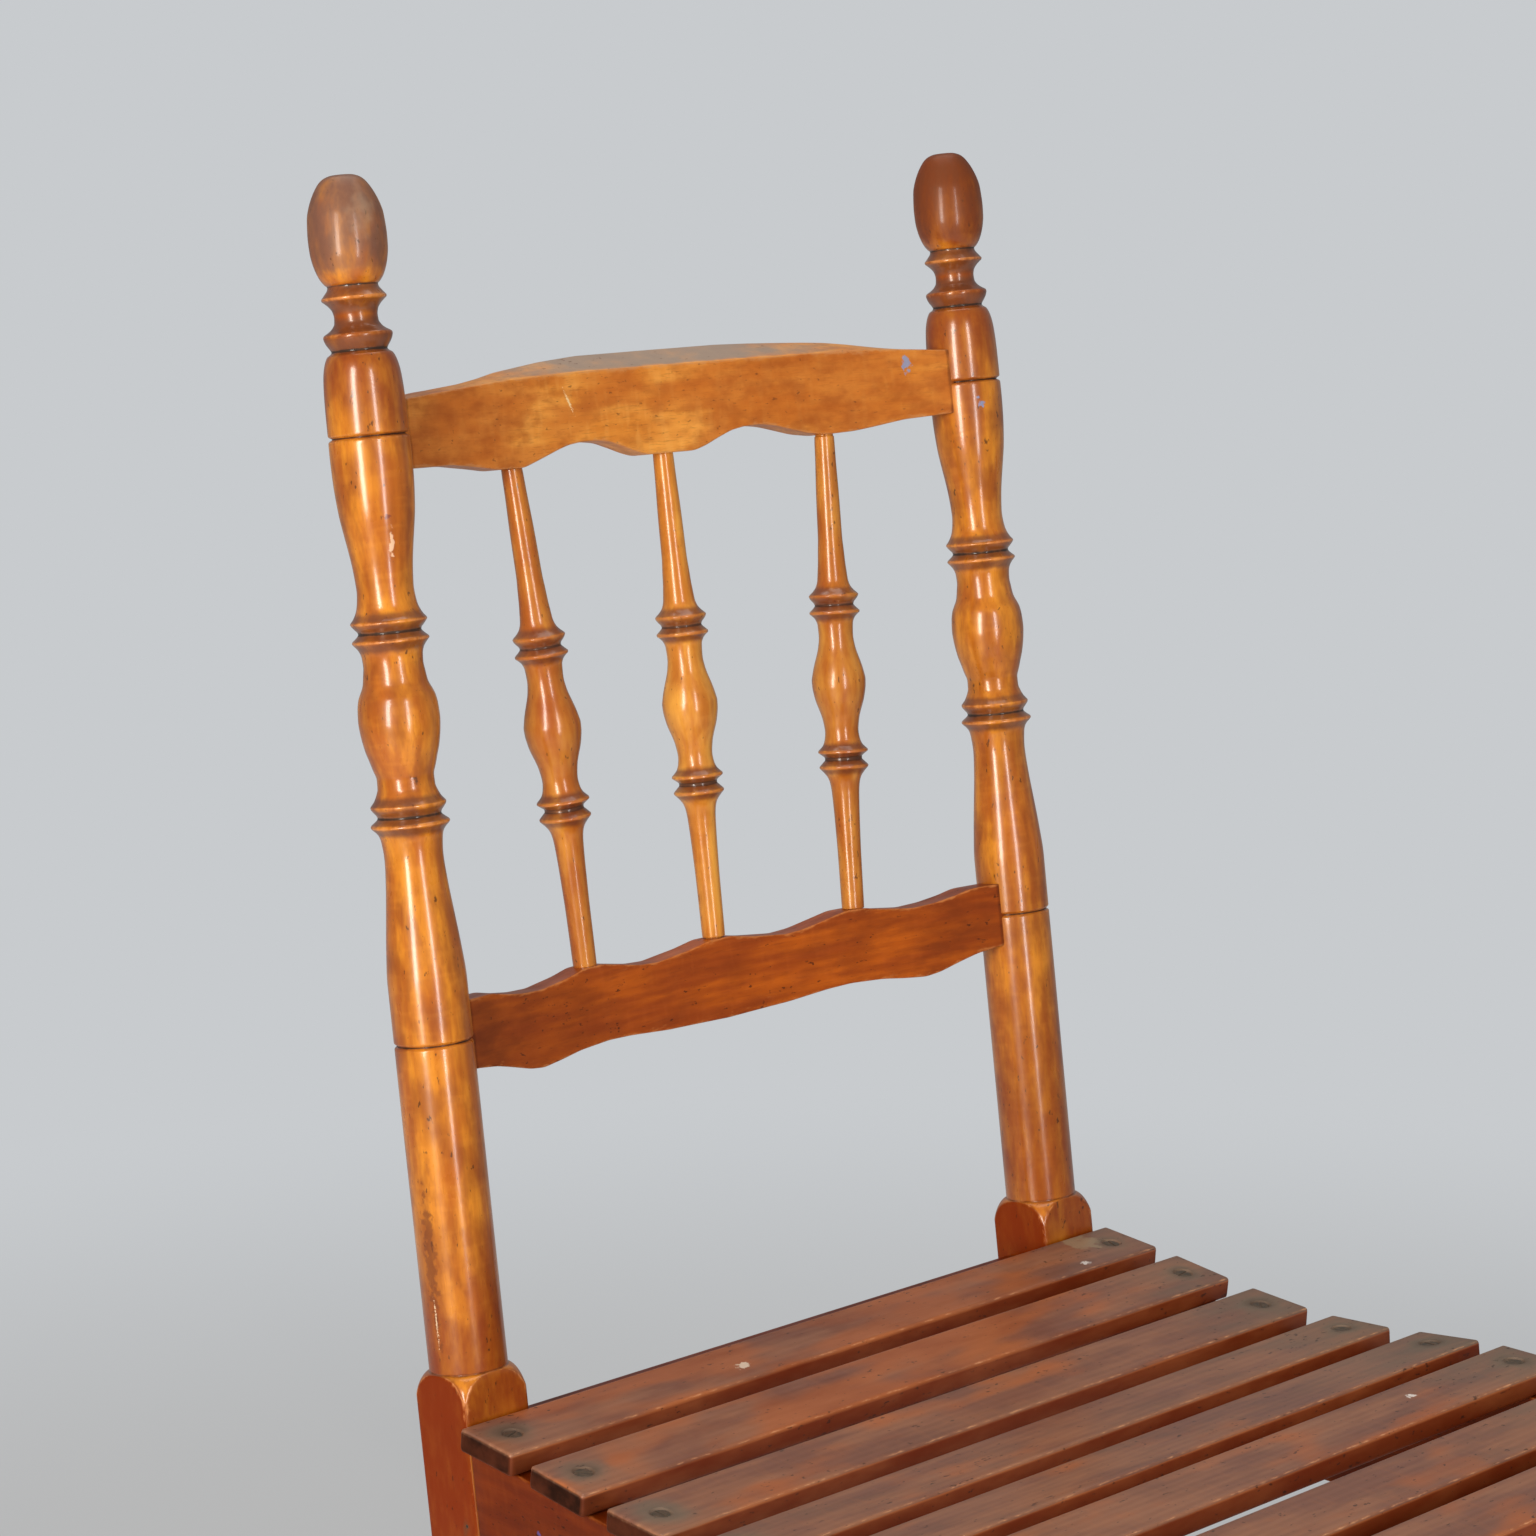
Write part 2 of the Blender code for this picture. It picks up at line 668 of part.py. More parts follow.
def under_slat(place_of_slat, y):
    """Height of the plane a clearance below a slat's underside, at y."""
    middle_y, middle_z = on_slat(place_of_slat, 0, -SLAT_THICKNESS - FIT)
    return middle_z + (y - middle_y) * math.tan(place_of_slat[2])


def seat_slat_mesh():
    """One slat, its top's middle at the origin, with eased edges and two countersunk screw holes."""
    low = (-half_slat_length, -SLAT_WIDTH / 2, -SLAT_THICKNESS)
    high = (half_slat_length, SLAT_WIDTH / 2, 0)
    blank = box("seat_slat", low, high, cutters, None)
    ease_edges(blank, SLAT_ROUNDING, 2)
    head_radius = SCREW_HEAD_DIAMETER / 2 + FIT
    shank_radius = SCREW_SHANK_DIAMETER / 2 + FIT
    outline = [
        (head_radius, OVERRUN),
        (head_radius, -SCREW_SUNK - FIT),
        (shank_radius, -SCREW_SUNK - FIT - SCREW_HEAD_DEPTH),
        (shank_radius, -SLAT_THICKNESS - OVERRUN),
    ]
    for side in (-1, 1):
        hole = turned(f"slat_hole_{side}", outline, SCREW_SIDES, cutters, None, (side * rail_middle_x, 0, 0))
        combine(blank, "DIFFERENCE", hole)
    mesh = solid_mesh(blank)
    mesh.name = "seat_slat"
    mesh.materials.append(slat_wood)
    return mesh


def slat_screw_mesh():
    """One countersunk wood screw with a slotted head, its head's middle at the origin."""
    head_radius = SCREW_HEAD_DIAMETER / 2
    shank_radius = SCREW_SHANK_DIAMETER / 2
    outline = [
        (head_radius, 0),
        (shank_radius, -SCREW_HEAD_DEPTH),
        (shank_radius, -SCREW_LENGTH + SCREW_HEAD_DIAMETER / 2),
        (SCREW_TIP_DIAMETER / 2, -SCREW_LENGTH),
    ]
    screw = turned("slat_screw", outline, SCREW_SIDES, cutters, None)
    low = (-SCREW_HEAD_DIAMETER, -SLOT_WIDTH / 2, -SLOT_DEPTH)
    high = (SCREW_HEAD_DIAMETER, SLOT_WIDTH / 2, OVERRUN)
    combine(screw, "DIFFERENCE", box("screw_slot", low, high, cutters, None))
    mesh = solid_mesh(screw)
    mesh.name = "slat_screw"
    mesh.materials.append(screw_iron)
    return mesh


def seat_slats():
    """The slats and their screws, from the back."""
    slat_mesh = seat_slat_mesh()
    screw_mesh = slat_screw_mesh()
    for number, slat in enumerate(slats, 1):
        tilt = slat[2]
        place(f"seat_slat_{number}", slat_mesh, chair, chair_frame, (0, slat[0], slat[1]), (tilt, 0, 0))
        head_y, head_z = on_slat(slat, 0, -SCREW_SUNK)
        for side, side_name in sides:
            name = f"slat_screw_{number}_{side_name}"
            slot_turns = SLOT_TURNS[(2 * number + side) % len(SLOT_TURNS)]
            location = (side * rail_middle_x, head_y, head_z)
            screw = place(name, screw_mesh, chair, chair_frame, location, (tilt, 0, 0))
            screw.rotation_euler.rotate_axis("Z", 2 * math.pi * slot_turns / SCREW_SIDES)


def screw_pilot(name, side, slat):
    """The hole for a slat screw in the rail or leg below its slat."""
    start = on_slat(slat, 0, OVERRUN)
    end = on_slat(slat, 0, -SCREW_SUNK - SCREW_LENGTH - FIT)
    radius = SCREW_SHANK_DIAMETER / 2 + FIT
    x = side * rail_middle_x
    return rod(name, (x, *end), (x, *start), radius, SCREW_SIDES, cutters, chair_frame)


def mortise(name, corners):
    """The mortise for a tenon given by its low and high corners."""
    low, high = corners
    low = [value - FIT for value in low]
    high = [value + FIT for value in high]
    return box(name, low, high, cutters, chair_frame)


def side_rail_tenons(side):
    """Corners (low, high) of a side rail's rear and front tenons, each rooted in the rail."""
    x = side * rail_middle_x
    half = RAIL_TENON_THICKNESS / 2
    low_z = side_rail_bottom + RAIL_TENON_SHOULDER
    rear_top = under_slat(slats[0], seat_rear_y) - RAIL_TENON_SHOULDER
    front_top = under_slat(slats[-2], front_leg_back_y) - RAIL_TENON_SHOULDER
    rear_face = post_face_y((low_z + rear_top) / 2)
    rear_root = post_face_y(low_z) - RAIL_TENON_SHOULDER
    front_root = front_leg_back_y + RAIL_TENON_SHOULDER
    rear = ((x - half, rear_root, low_z), (x + half, rear_face + RAIL_TENON_LENGTH, rear_top))
    front = ((x - half, front_leg_back_y - RAIL_TENON_LENGTH, low_z), (x + half, front_root, front_top))
    return rear, front


def rail_pin_places(side):
    """(x, y, z) of the heads of the pins through a side rail's rear and front tenons."""
    z = shoulder_height - PIN_BELOW_SHOULDER
    x = side * outer_face_x
    return (x, post_face_y(z) + PIN_FROM_FACE, z), (x, front_leg_back_y - PIN_FROM_FACE, z)


def pin_hole(name, side, head):
    """The hole for a tenon pin, open to the outside."""
    x, y, z = head
    start = (x + side * OVERRUN, y, z)
    end = (x - side * (PIN_LENGTH + FIT), y, z)
    return rod(name, end, start, PIN_DIAMETER / 2 + FIT, SCREW_SIDES, cutters, chair_frame)


def side_seat_rail(side, side_name):
    """A side rail, flush with the posts' outer faces, its top sawn to lie flat under each slat."""
    rear_top = under_slat(slats[0], seat_rear_y)
    front_y = front_leg_back_y + FIT
    face_gap = FIT / math.cos(rake)
    outline = [
        (front_y, side_rail_bottom),
        (post_face_y(side_rail_bottom) - face_gap, side_rail_bottom),
        (post_face_y(rear_top) - face_gap, rear_top),
    ]
    for index, slat in enumerate(slats[:-1]):
        if index > 0:
            outline.append(on_slat(slat, SLAT_WIDTH / 2, -SLAT_THICKNESS - FIT))
        outline.append(on_slat(slat, -SLAT_WIDTH / 2, -SLAT_THICKNESS - FIT))
    outline.append((front_y, under_slat(slats[-2], front_y)))
    name = f"side_seat_rail_{side_name}"
    location = (side * rail_middle_x, 0, 0)
    rail = prism(name, outline, RAIL_THICKNESS / 2, side_view, chair, chair_frame, location, rail_wood)
    for (low, high), head, end_name in zip(side_rail_tenons(side), rail_pin_places(side), ("rear", "front")):
        combine(rail, "UNION", box(f"{name}_{end_name}_tenon", low, high, cutters, chair_frame))
        combine(rail, "DIFFERENCE", pin_hole(f"{name}_{end_name}_pin_hole", side, head))
        pin_end = (head[0] - side * PIN_LENGTH, head[1], head[2])
        pin_name = f"rail_pin_{end_name}_{side_name}"
        rod(pin_name, pin_end, head, PIN_DIAMETER / 2, SCREW_SIDES, chair, chair_frame, screw_iron)
    for number, slat in enumerate(slats[:-1], 1):
        combine(rail, "DIFFERENCE", screw_pilot(f"{name}_pilot_{number}", side, slat))
    return rail


def cross_tenon(name, parent, side, low, high, clearance):
    """A cross rail's tenon past a post's or leg's inner face, or its mortise when a clearance is given."""
    root = inner_face_x - RAIL_TENON_SHOULDER
    tip = inner_face_x + CROSS_TENON_LENGTH + clearance
    low_x, high_x = min(side * root, side * tip), max(side * root, side * tip)
    low_corner = (low_x, low[0] - clearance, low[1] - clearance)
    high_corner = (high_x, high[0] + clearance, high[1] + clearance)
    return box(name, low_corner, high_corner, cutters, parent)


rear_rail_top = -SHOULDER_ABOVE_SEAT - SLAT_THICKNESS
rear_rail_tenon = (
    (-RAIL_TENON_THICKNESS / 2, rear_rail_top - CROSS_RAIL_HEIGHT + RAIL_TENON_SHOULDER),
    (RAIL_TENON_THICKNESS / 2, rear_rail_top - RAIL_TENON_SHOULDER),
)
front_rail_top = under_slat(slats[-1], front_leg_y)
front_rail_tenon = (
    (front_leg_y - RAIL_TENON_THICKNESS / 2, front_rail_top - CROSS_RAIL_HEIGHT + RAIL_TENON_SHOULDER),
    (front_leg_y + RAIL_TENON_THICKNESS / 2, front_rail_top - RAIL_TENON_SHOULDER),
)


def cross_seat_rail(name, outline, parent, tenon):
    """A straight rail across the chair, tenoned into the inner faces."""
    rail = prism(name, outline, inner_face_x - FIT, side_view, chair, parent, material=rail_wood)
    for side, side_name in sides:
        combine(rail, "UNION", cross_tenon(f"{name}_tenon_{side_name}", parent, side, *tenon, 0))
    return rail


def seat_rails():
    """The side rails, the raked rear rail and the front rail under the first slat from the front."""
    for side, side_name in sides:
        side_seat_rail(side, side_name)
    half = CROSS_RAIL_THICKNESS / 2
    rear_bottom = rear_rail_top - CROSS_RAIL_HEIGHT
    rear_outline = [(-half, rear_bottom), (half, rear_bottom), (half, rear_rail_top), (-half, rear_rail_top)]
    cross_seat_rail("rear_seat_rail", rear_outline, back_frame, rear_rail_tenon)
    front, back = front_leg_y - half, front_leg_y + half
    front_bottom = front_rail_top - CROSS_RAIL_HEIGHT
    front_outline = [
        (front, front_bottom),
        (back, front_bottom),
        (back, under_slat(slats[-1], back)),
        (front, under_slat(slats[-1], front)),
    ]
    cross_seat_rail("front_seat_rail", front_outline, chair_frame, front_rail_tenon)


side_stretcher_heights = (("upper", SIDE_STRETCHER_HIGH), ("lower", SIDE_STRETCHER_LOW))
front_leg_surface_y = front_leg_y + FRONT_LEG_DIAMETER / 2


def side_stretcher_span(height):
    """Y of a side stretcher's front and rear ends, inside their holes."""
    middle, half_depth = rear_leg_at(height)
    return front_leg_surface_y - STRETCHER_TENON_LENGTH, middle - half_depth + STRETCHER_TENON_LENGTH


def stretcher_hole(name, tip, mouth):
    """A stretcher's hole, from the tip of its tenon out past the wood."""
    tip, mouth = Vector(tip), Vector(mouth)
    aim = (mouth - tip).normalized()
    start = tip - aim * FIT
    end = mouth + aim * OVERRUN
    radius = STRETCHER_TENON_DIAMETER / 2 + FIT
    return rod(name, start, end, radius, STRETCHER_SIDES, cutters, chair_frame)


def stretcher(name, start, end, diameter, stations):
    """A turned stretcher, alike to both ends, each end a tenon of even thickness."""
    start, end = Vector(start), Vector(end)
    half_length = (end - start).length / 2
    end_share = STRETCHER_TENON_DIAMETER / diameter
    bare_share = 1 - STRETCHER_TENON_LENGTH / half_length
    stations = (("line", 1.0, end_share), ("line", bare_share, end_share), *stations)
    half = turned_outline(stations, half_length, diameter / 2)
    outline = half + [(radius, -height) for radius, height in reversed(half[:-1])]
    middle = (start + end) / 2
    return turned(name, outline, STRETCHER_SIDES, chair, chair_frame, middle, end - start, post_wood)


def rear_stretcher_half_span():
    """Half the distance between the tips of the rear stretcher's tenons."""
    return post_x - rear_leg_half_width(REAR_STRETCHER_HEIGHT) + STRETCHER_TENON_LENGTH


def front_stretcher_half_span():
    """Half the distance between the tips of the front stretcher's tenons."""
    return post_x - FRONT_LEG_DIAMETER / 2 + STRETCHER_TENON_LENGTH


def rear_leg_half_width(height):
    """Half a rear leg's width seen from the front: square down to the bend, then tapered to the foot."""
    start = side_rail_bottom - BEND_BELOW_RAIL
    share = min(1.0, max(0.0, (start - height) / start))
    return half_square + (FOOT_WIDTH / 2 - half_square) * share


def stretchers():
    """Two stretchers on each side, a fat turned one in front and a plain one at the back."""
    for side, side_name in sides:
        for level, height in side_stretcher_heights:
            front, rear = side_stretcher_span(height)
            start, end = (side * post_x, front, height), (side * post_x, rear, height)
            name = f"side_stretcher_{level}_{side_name}"
            stretcher(name, start, end, SIDE_STRETCHER_DIAMETER, PLAIN_STRETCHER_SHARES)
    half = front_stretcher_half_span()
    start, end = (-half, front_leg_y, FRONT_STRETCHER_HEIGHT), (half, front_leg_y, FRONT_STRETCHER_HEIGHT)
    stretcher("front_stretcher", start, end, FRONT_STRETCHER_DIAMETER, FRONT_STRETCHER_SHARES)
    half = rear_stretcher_half_span()
    rear_y = rear_leg_at(REAR_STRETCHER_HEIGHT)[0]
    start, end = (-half, rear_y, REAR_STRETCHER_HEIGHT), (half, rear_y, REAR_STRETCHER_HEIGHT)
    stretcher("rear_stretcher", start, end, SIDE_STRETCHER_DIAMETER, PLAIN_STRETCHER_SHARES)


def back_post(side, side_name):
    """One stick: a sawn and kicked leg, a square with a domed shoulder, and the turning above it."""
    name = f"back_post_{side_name}"
    fronts = [(y - half * math.cos(lean), z + half * math.sin(lean)) for y, z, lean, half in rear_leg]
    backs = [(y + half * math.cos(lean), z - half * math.sin(lean)) for y, z, lean, half in rear_leg]
    location = (side * post_x, 0, 0)
    outline = fronts + backs[::-1]
    post = prism(name, outline, half_square + OVERRUN, side_view, chair, chair_frame, location, post_wood)
    bend_start = side_rail_bottom - BEND_BELOW_RAIL
    top = shoulder_height + OVERRUN
    half_foot = FOOT_WIDTH / 2
    face_outline = [
        (-half_foot, 0), (half_foot, 0), (half_square, bend_start), (half_square, top), (-half_square, top),
        (-half_square, bend_start),
    ]
    reach = max(abs(y) for y, *_ in rear_leg) + POST_SQUARE
    face = prism(f"{name}_face", face_outline, reach, front_view, cutters, chair_frame, location)
    combine(post, "INTERSECT", face)
    ease_edges(post, EDGE_EASE)
    shoulder = shoulder_cutter(f"{name}_shoulder", back_frame, location, (0, 0, 1))
    combine(post, "DIFFERENCE", shoulder)
    outline = post_outline[:-1] + [(post_radius, -PLUG_LENGTH)]
    combine(post, "UNION", turned(f"{name}_turning", outline, POST_SIDES, cutters, back_frame, location))
    combine(
        post,
        "DIFFERENCE",
        back_rail_pocket(f"{name}_crest_pocket", side, crest_edges),
        back_rail_pocket(f"{name}_lower_pocket", side, lower_rail_edges),
        mortise(f"{name}_rail_mortise", side_rail_tenons(side)[0]),
        pin_hole(f"{name}_pin_hole", side, rail_pin_places(side)[0]),
        cross_tenon(f"{name}_rear_rail_mortise", back_frame, side, *rear_rail_tenon, FIT),
    )
    for level, height in side_stretcher_heights:
        tip_y = side_stretcher_span(height)[1]
        mouth = (side * post_x, tip_y - STRETCHER_TENON_LENGTH, height)
        hole = stretcher_hole(f"{name}_{level}_hole", (side * post_x, tip_y, height), mouth)
        combine(post, "DIFFERENCE", hole)
    half = rear_stretcher_half_span()
    rear_y = rear_leg_at(REAR_STRETCHER_HEIGHT)[0]
    tip = (side * half, rear_y, REAR_STRETCHER_HEIGHT)
    mouth = (side * (half - STRETCHER_TENON_LENGTH), rear_y, REAR_STRETCHER_HEIGHT)
    combine(post, "DIFFERENCE", stretcher_hole(f"{name}_rear_stretcher_hole", tip, mouth))
    return post


def front_leg(side, side_name):
    """One stick: a square for the rails, cut to lie under its slat, with a domed shoulder and a turned leg."""
    name = f"front_leg_{side_name}"
    front, back = front_leg_y - half_square, front_leg_y + half_square
    bottom = front_block_bottom - PLUG_LENGTH
    outline = [
        (front, bottom),
        (back, bottom),
        (back, under_slat(slats[-1], back)),
        (front, under_slat(slats[-1], front)),
    ]
    foot = (side * post_x, front_leg_y, 0)
    shoulder_place = (side * post_x, front_leg_y, front_block_bottom)
    leg = prism(name, outline, half_square, side_view, chair, chair_frame, (side * post_x, 0, 0), post_wood)
    ease_edges(leg, EDGE_EASE)
    combine(leg, "DIFFERENCE", shoulder_cutter(f"{name}_shoulder", chair_frame, shoulder_place, (0, 0, -1)))
    radius = FRONT_LEG_DIAMETER / 2
    outline = turned_outline(FRONT_LEG_TURNING_SHARES, front_block_bottom, radius)
    outline[0] = (radius, front_block_bottom + PLUG_LENGTH)
    combine(leg, "UNION", turned(f"{name}_turning", outline, POST_SIDES, cutters, chair_frame, foot))
    combine(
        leg,
        "DIFFERENCE",
        mortise(f"{name}_rail_mortise", side_rail_tenons(side)[1]),
        pin_hole(f"{name}_pin_hole", side, rail_pin_places(side)[1]),
        cross_tenon(f"{name}_front_rail_mortise", chair_frame, side, *front_rail_tenon, FIT),
        screw_pilot(f"{name}_pilot", side, slats[-1]),
    )
    for level, height in side_stretcher_heights:
        tip = (side * post_x, side_stretcher_span(height)[0], height)
        mouth = (side * post_x, front_leg_surface_y, height)
        combine(leg, "DIFFERENCE", stretcher_hole(f"{name}_{level}_hole", tip, mouth))
    tip = (side * front_stretcher_half_span(), front_leg_y, FRONT_STRETCHER_HEIGHT)
    mouth = (side * (post_x - radius), front_leg_y, FRONT_STRETCHER_HEIGHT)
    combine(leg, "DIFFERENCE", stretcher_hole(f"{name}_front_stretcher_hole", tip, mouth))


def back():
    """The two bowed rails and the three spindles between them."""
    crest = back_rail("crest_rail", crest_edges)
    lower = back_rail("lower_back_rail", lower_rail_edges)
    for x_share, place_name in ((-1, "left"), (0, "centre"), (1, "right")):
        name = f"back_spindle_{place_name}"
        back_spindle(name, x_share)
        low_hole, top_hole = spindle_holes(f"{name}_hole", x_share)
        combine(lower, "DIFFERENCE", low_hole)
        combine(crest, "DIFFERENCE", top_hole)


for side, side_name in sides:
    back_post(side, side_name)
    front_leg(side, side_name)
back()
seat_rails()
seat_slats()
stretchers()
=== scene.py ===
# Spindle-back side chair with a seat of screwed slats: fine shapes, worn varnish, iron screws.
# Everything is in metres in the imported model's frame: +X to the right seen from the front, +Y back, +Z up.

import bpy
import numpy as np
from mathutils import Matrix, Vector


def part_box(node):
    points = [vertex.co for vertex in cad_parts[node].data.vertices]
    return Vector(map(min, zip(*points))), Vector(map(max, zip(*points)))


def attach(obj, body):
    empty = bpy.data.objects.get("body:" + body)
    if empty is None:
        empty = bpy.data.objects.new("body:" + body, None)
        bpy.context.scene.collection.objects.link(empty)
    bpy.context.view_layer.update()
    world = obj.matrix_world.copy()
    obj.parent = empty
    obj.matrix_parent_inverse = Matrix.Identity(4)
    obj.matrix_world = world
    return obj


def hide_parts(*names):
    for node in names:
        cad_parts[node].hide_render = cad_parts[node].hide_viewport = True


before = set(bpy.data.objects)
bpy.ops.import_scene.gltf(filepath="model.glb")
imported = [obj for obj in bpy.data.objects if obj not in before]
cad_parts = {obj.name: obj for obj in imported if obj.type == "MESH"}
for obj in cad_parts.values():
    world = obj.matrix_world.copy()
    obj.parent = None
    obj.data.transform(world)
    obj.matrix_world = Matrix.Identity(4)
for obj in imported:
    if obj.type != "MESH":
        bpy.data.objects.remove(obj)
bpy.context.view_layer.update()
mm = 0.001
sides = ((-1, "left"), (1, "right"))

# Main places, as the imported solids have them
chair = {
    "postX": 190.5 * mm,
    "halfSquare": 18.5 * mm,
    "shoulderZ": 453.4 * mm,
    "rake": np.radians(8.0),  # the back leans this far
    "kick": np.radians(9.0),  # and the rear feet this far the other way
    "railBottomZ": 355.0 * mm,
    "crestTop": 458.1 * mm,  # the crest rail's highest point along the posts, also its furthest back
    "crestReach": 28.0 * mm,
}
sinRake, cosRake = np.sin(chair["rake"]), np.cos(chair["rake"])
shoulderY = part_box("crest_rail")[1].y - chair["crestTop"] * sinRake - chair["crestReach"] * cosRake
outerX = chair["postX"] + chair["halfSquare"]
innerX = chair["postX"] - chair["halfSquare"]


def stacked(*values):
    # Arrays stretched to one shape and set beside each other along a last axis
    return np.stack(np.broadcast_arrays(*values), axis=-1)


def leaning(x, depth, along):
    # The back's own axes (across, behind the posts' middle, up the posts from the shoulder) turned by the
    # rake
    return stacked(x, shoulderY + along * sinRake + depth * cosRake,
                   chair["shoulderZ"] + along * cosRake - depth * sinRake)


def boxOf(node):
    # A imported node's lowest and highest corners
    return np.array([list(corner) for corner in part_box(node)])


def mirrored(half):
    # Both halves of a line that is given from its middle outwards
    return [(-place, height) for place, height in half[:0:-1]] + list(half)


def easedLine(points, step):
    # Cubic pieces through the points; each slope is the harmonic mean of its two neighbours', so none
    # overshoots
    points = np.asarray(points, float)
    chord = np.hypot(*np.diff(points, axis=0).T)
    reach = np.concatenate([[0], np.cumsum(chord)])
    slope = np.diff(points, axis=0) / chord[:, None]
    product = slope[:-1] * slope[1:]
    total = np.where(product > 0, slope[:-1] + slope[1:], 1)
    tangent = np.vstack([slope[:1], np.where(product > 0, 2 * product / total, 0), slope[-1:]])
    at = np.linspace(0, reach[-1], max(2, round(reach[-1] / step)))
    piece = np.clip(np.searchsorted(reach, at, side="right") - 1, 0, len(chord) - 1)
    t = ((at - reach[piece]) / chord[piece])[:, None]
    length = chord[piece][:, None]
    return (
        (2 * t**3 - 3 * t**2 + 1) * points[piece]
        + (t**3 - 2 * t**2 + t) * length * tangent[piece]
        + (3 * t**2 - 2 * t**3) * points[piece + 1]
        + (t**3 - t**2) * length * tangent[piece + 1]
    )


def blurred(values, width):
    # A running mean over that many samples to each side, taken twice, with the end values held past the ends
    for _ in range(2):
        padded = np.pad(values, width, mode="edge")
        values = np.convolve(padded, np.ones(2 * width + 1) / (2 * width + 1), mode="valid")
    return values


noWax = ((0, -9),)  # for a turning without old wax round its beads


def turnedLine(points, count, waxed):
    # A turning's line as (height, radius), sampled closer where it bends. A place that stands proud of the
    # line's running mean is worn, one that lies below it holds dirt, and old wax stays round the beads,
    # given as (height, half length). Gives height, radius, wear and grime
    step, closer, sharpest = 0.15, 26, 1.2
    line = easedLine(points, step)
    way = np.gradient(line, axis=0)
    bend = np.abs(np.gradient(np.unwrap(np.arctan2(way[:, 1], way[:, 0])))) / step
    weight = np.cumsum(1 + closer * np.minimum(bend, sharpest))
    index = np.arange(len(line))
    picks = np.interp(np.linspace(weight[0], weight[-1], count), weight, index)
    wide, narrow = (line[:, 1] - blurred(line[:, 1], width) for width in (16, 6))
    middle, half = np.array(waxed, float).T[:, :, None]
    zone = np.clip((half + 2.0 - np.abs(line[:, 0] - middle)) / 3, 0, 1).max(axis=0)
    wear = np.clip(narrow / 0.28, 0, 1) * np.clip(wide / 0.6, 0, 1)
    grime = 0.62 * zone * (1 - 0.9 * wear) + 0.2 * np.clip(-wide / 0.9, 0, 1)
    grime = grime + np.clip((-narrow - 0.12) / 0.3, 0, 1)
    height, radius, wear, grime = (np.interp(picks, index, values) for values in (*line.T, wear, grime))
    return height * mm, radius * mm, wear, grime


def addObject(name, data):
    # A new object in the scene
    made = bpy.data.objects.new(name, data)
    bpy.context.scene.collection.objects.link(made)
    return made


def closedSkin(name, shells, node, slot, material):
    # One piece of closed shells. Each shell is rings of points (ring, place, xyz) with its grain place and
    # its marks (wear, grime, tone) per point. Quads join each ring to the next, and a fan closes each end
    # at its middle
    layers, corners, sizes = ([], [], []), [], []
    used = 0
    for shell in shells:
        count, around = shell[0].shape[:2]
        here = np.arange(count * around).reshape(count, around)
        beside = np.roll(here, -1, axis=1)
        quads = stacked(here[:-1], beside[:-1], beside[1:], here[1:]).reshape(-1, 4)
        pole = count * around
        fans = np.vstack([stacked(beside[0], here[0], pole), stacked(here[-1], beside[-1], pole + 1)])
        for layer, part in zip(layers, shell):
            layer.append(np.vstack([part.reshape(-1, 3), part[[0, -1]].mean(axis=1)]))
        points = layers[0][-1]
        a, b, c, d = (points[quads[:, corner]] for corner in range(4))
        e, f, g = (points[fans[:, corner]] for corner in range(3))
        volume = (np.cross(b, c) * a).sum() + (np.cross(c, d) * a).sum() + (np.cross(f, g) * e).sum()
        if volume < 0:  # the rings ran the other way round, so the faces are turned outwards
            quads, fans = quads[:, ::-1], fans[:, ::-1]
        corners += [quads.ravel() + used, fans.ravel() + used]
        sizes += [np.full(len(quads), 4), np.full(len(fans), 3)]
        used += len(points)
    points, grain, marks = (np.vstack(layer) for layer in layers)
    corners, sizes = np.concatenate(corners), np.concatenate(sizes)
    mesh = bpy.data.meshes.new(name)
    mesh.vertices.add(len(points))
    mesh.vertices.foreach_set("co", points.ravel())
    mesh.loops.add(len(corners))
    mesh.loops.foreach_set("vertex_index", corners)
    mesh.polygons.add(len(sizes))
    mesh.polygons.foreach_set("loop_start", np.cumsum(sizes) - sizes)
    mesh.update(calc_edges=True)
    mesh.shade_smooth()
    for key, values in (("grain", grain), ("marks", marks)):
        layer = mesh.attributes.new(key, "FLOAT_VECTOR", "POINT")
        layer.data.foreach_set("vector", values.astype(np.float32).ravel())
    mesh.materials.append(material)
    piece = addObject(name, mesh)
    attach(piece, "root")
    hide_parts(node)


def marksOf(wear, grime, tone):
    # The three marks beside each other: wear and grime from 0 to 1, tone from -1, faded, to 1, stained
    return np.clip(stacked(wear, grime, tone), (0, 0, -1), 1)


def linear(hexColour):
    # An sRGB hex colour as Blender's linear one
    parts = np.array([int(hexColour[place:place + 2], 16) for place in (1, 3, 5)]) / 255
    return (*np.where(parts <= 0.04045, parts / 12.92, ((parts + 0.055) / 1.055) ** 2.4), 1.0)


def addNode(tree, kind, links=None, out=0, **settings):
    # One shader node with its settings, its constant inputs and its links. Gives the output that is asked for
    node = tree.nodes.new("ShaderNode" + kind)
    for key, value in settings.items():
        setattr(node, key, value)
    for key, source in (links or {}).items():
        if isinstance(source, bpy.types.NodeSocket):
            tree.links.new(source, node.inputs[key])
        else:
            node.inputs[key].default_value = source
    return node.outputs[out] if node.outputs else None


def emptyTree(owner):
    # The node tree of a material or world without its first nodes
    owner.use_nodes = True
    owner.node_tree.nodes.clear()
    return owner.node_tree


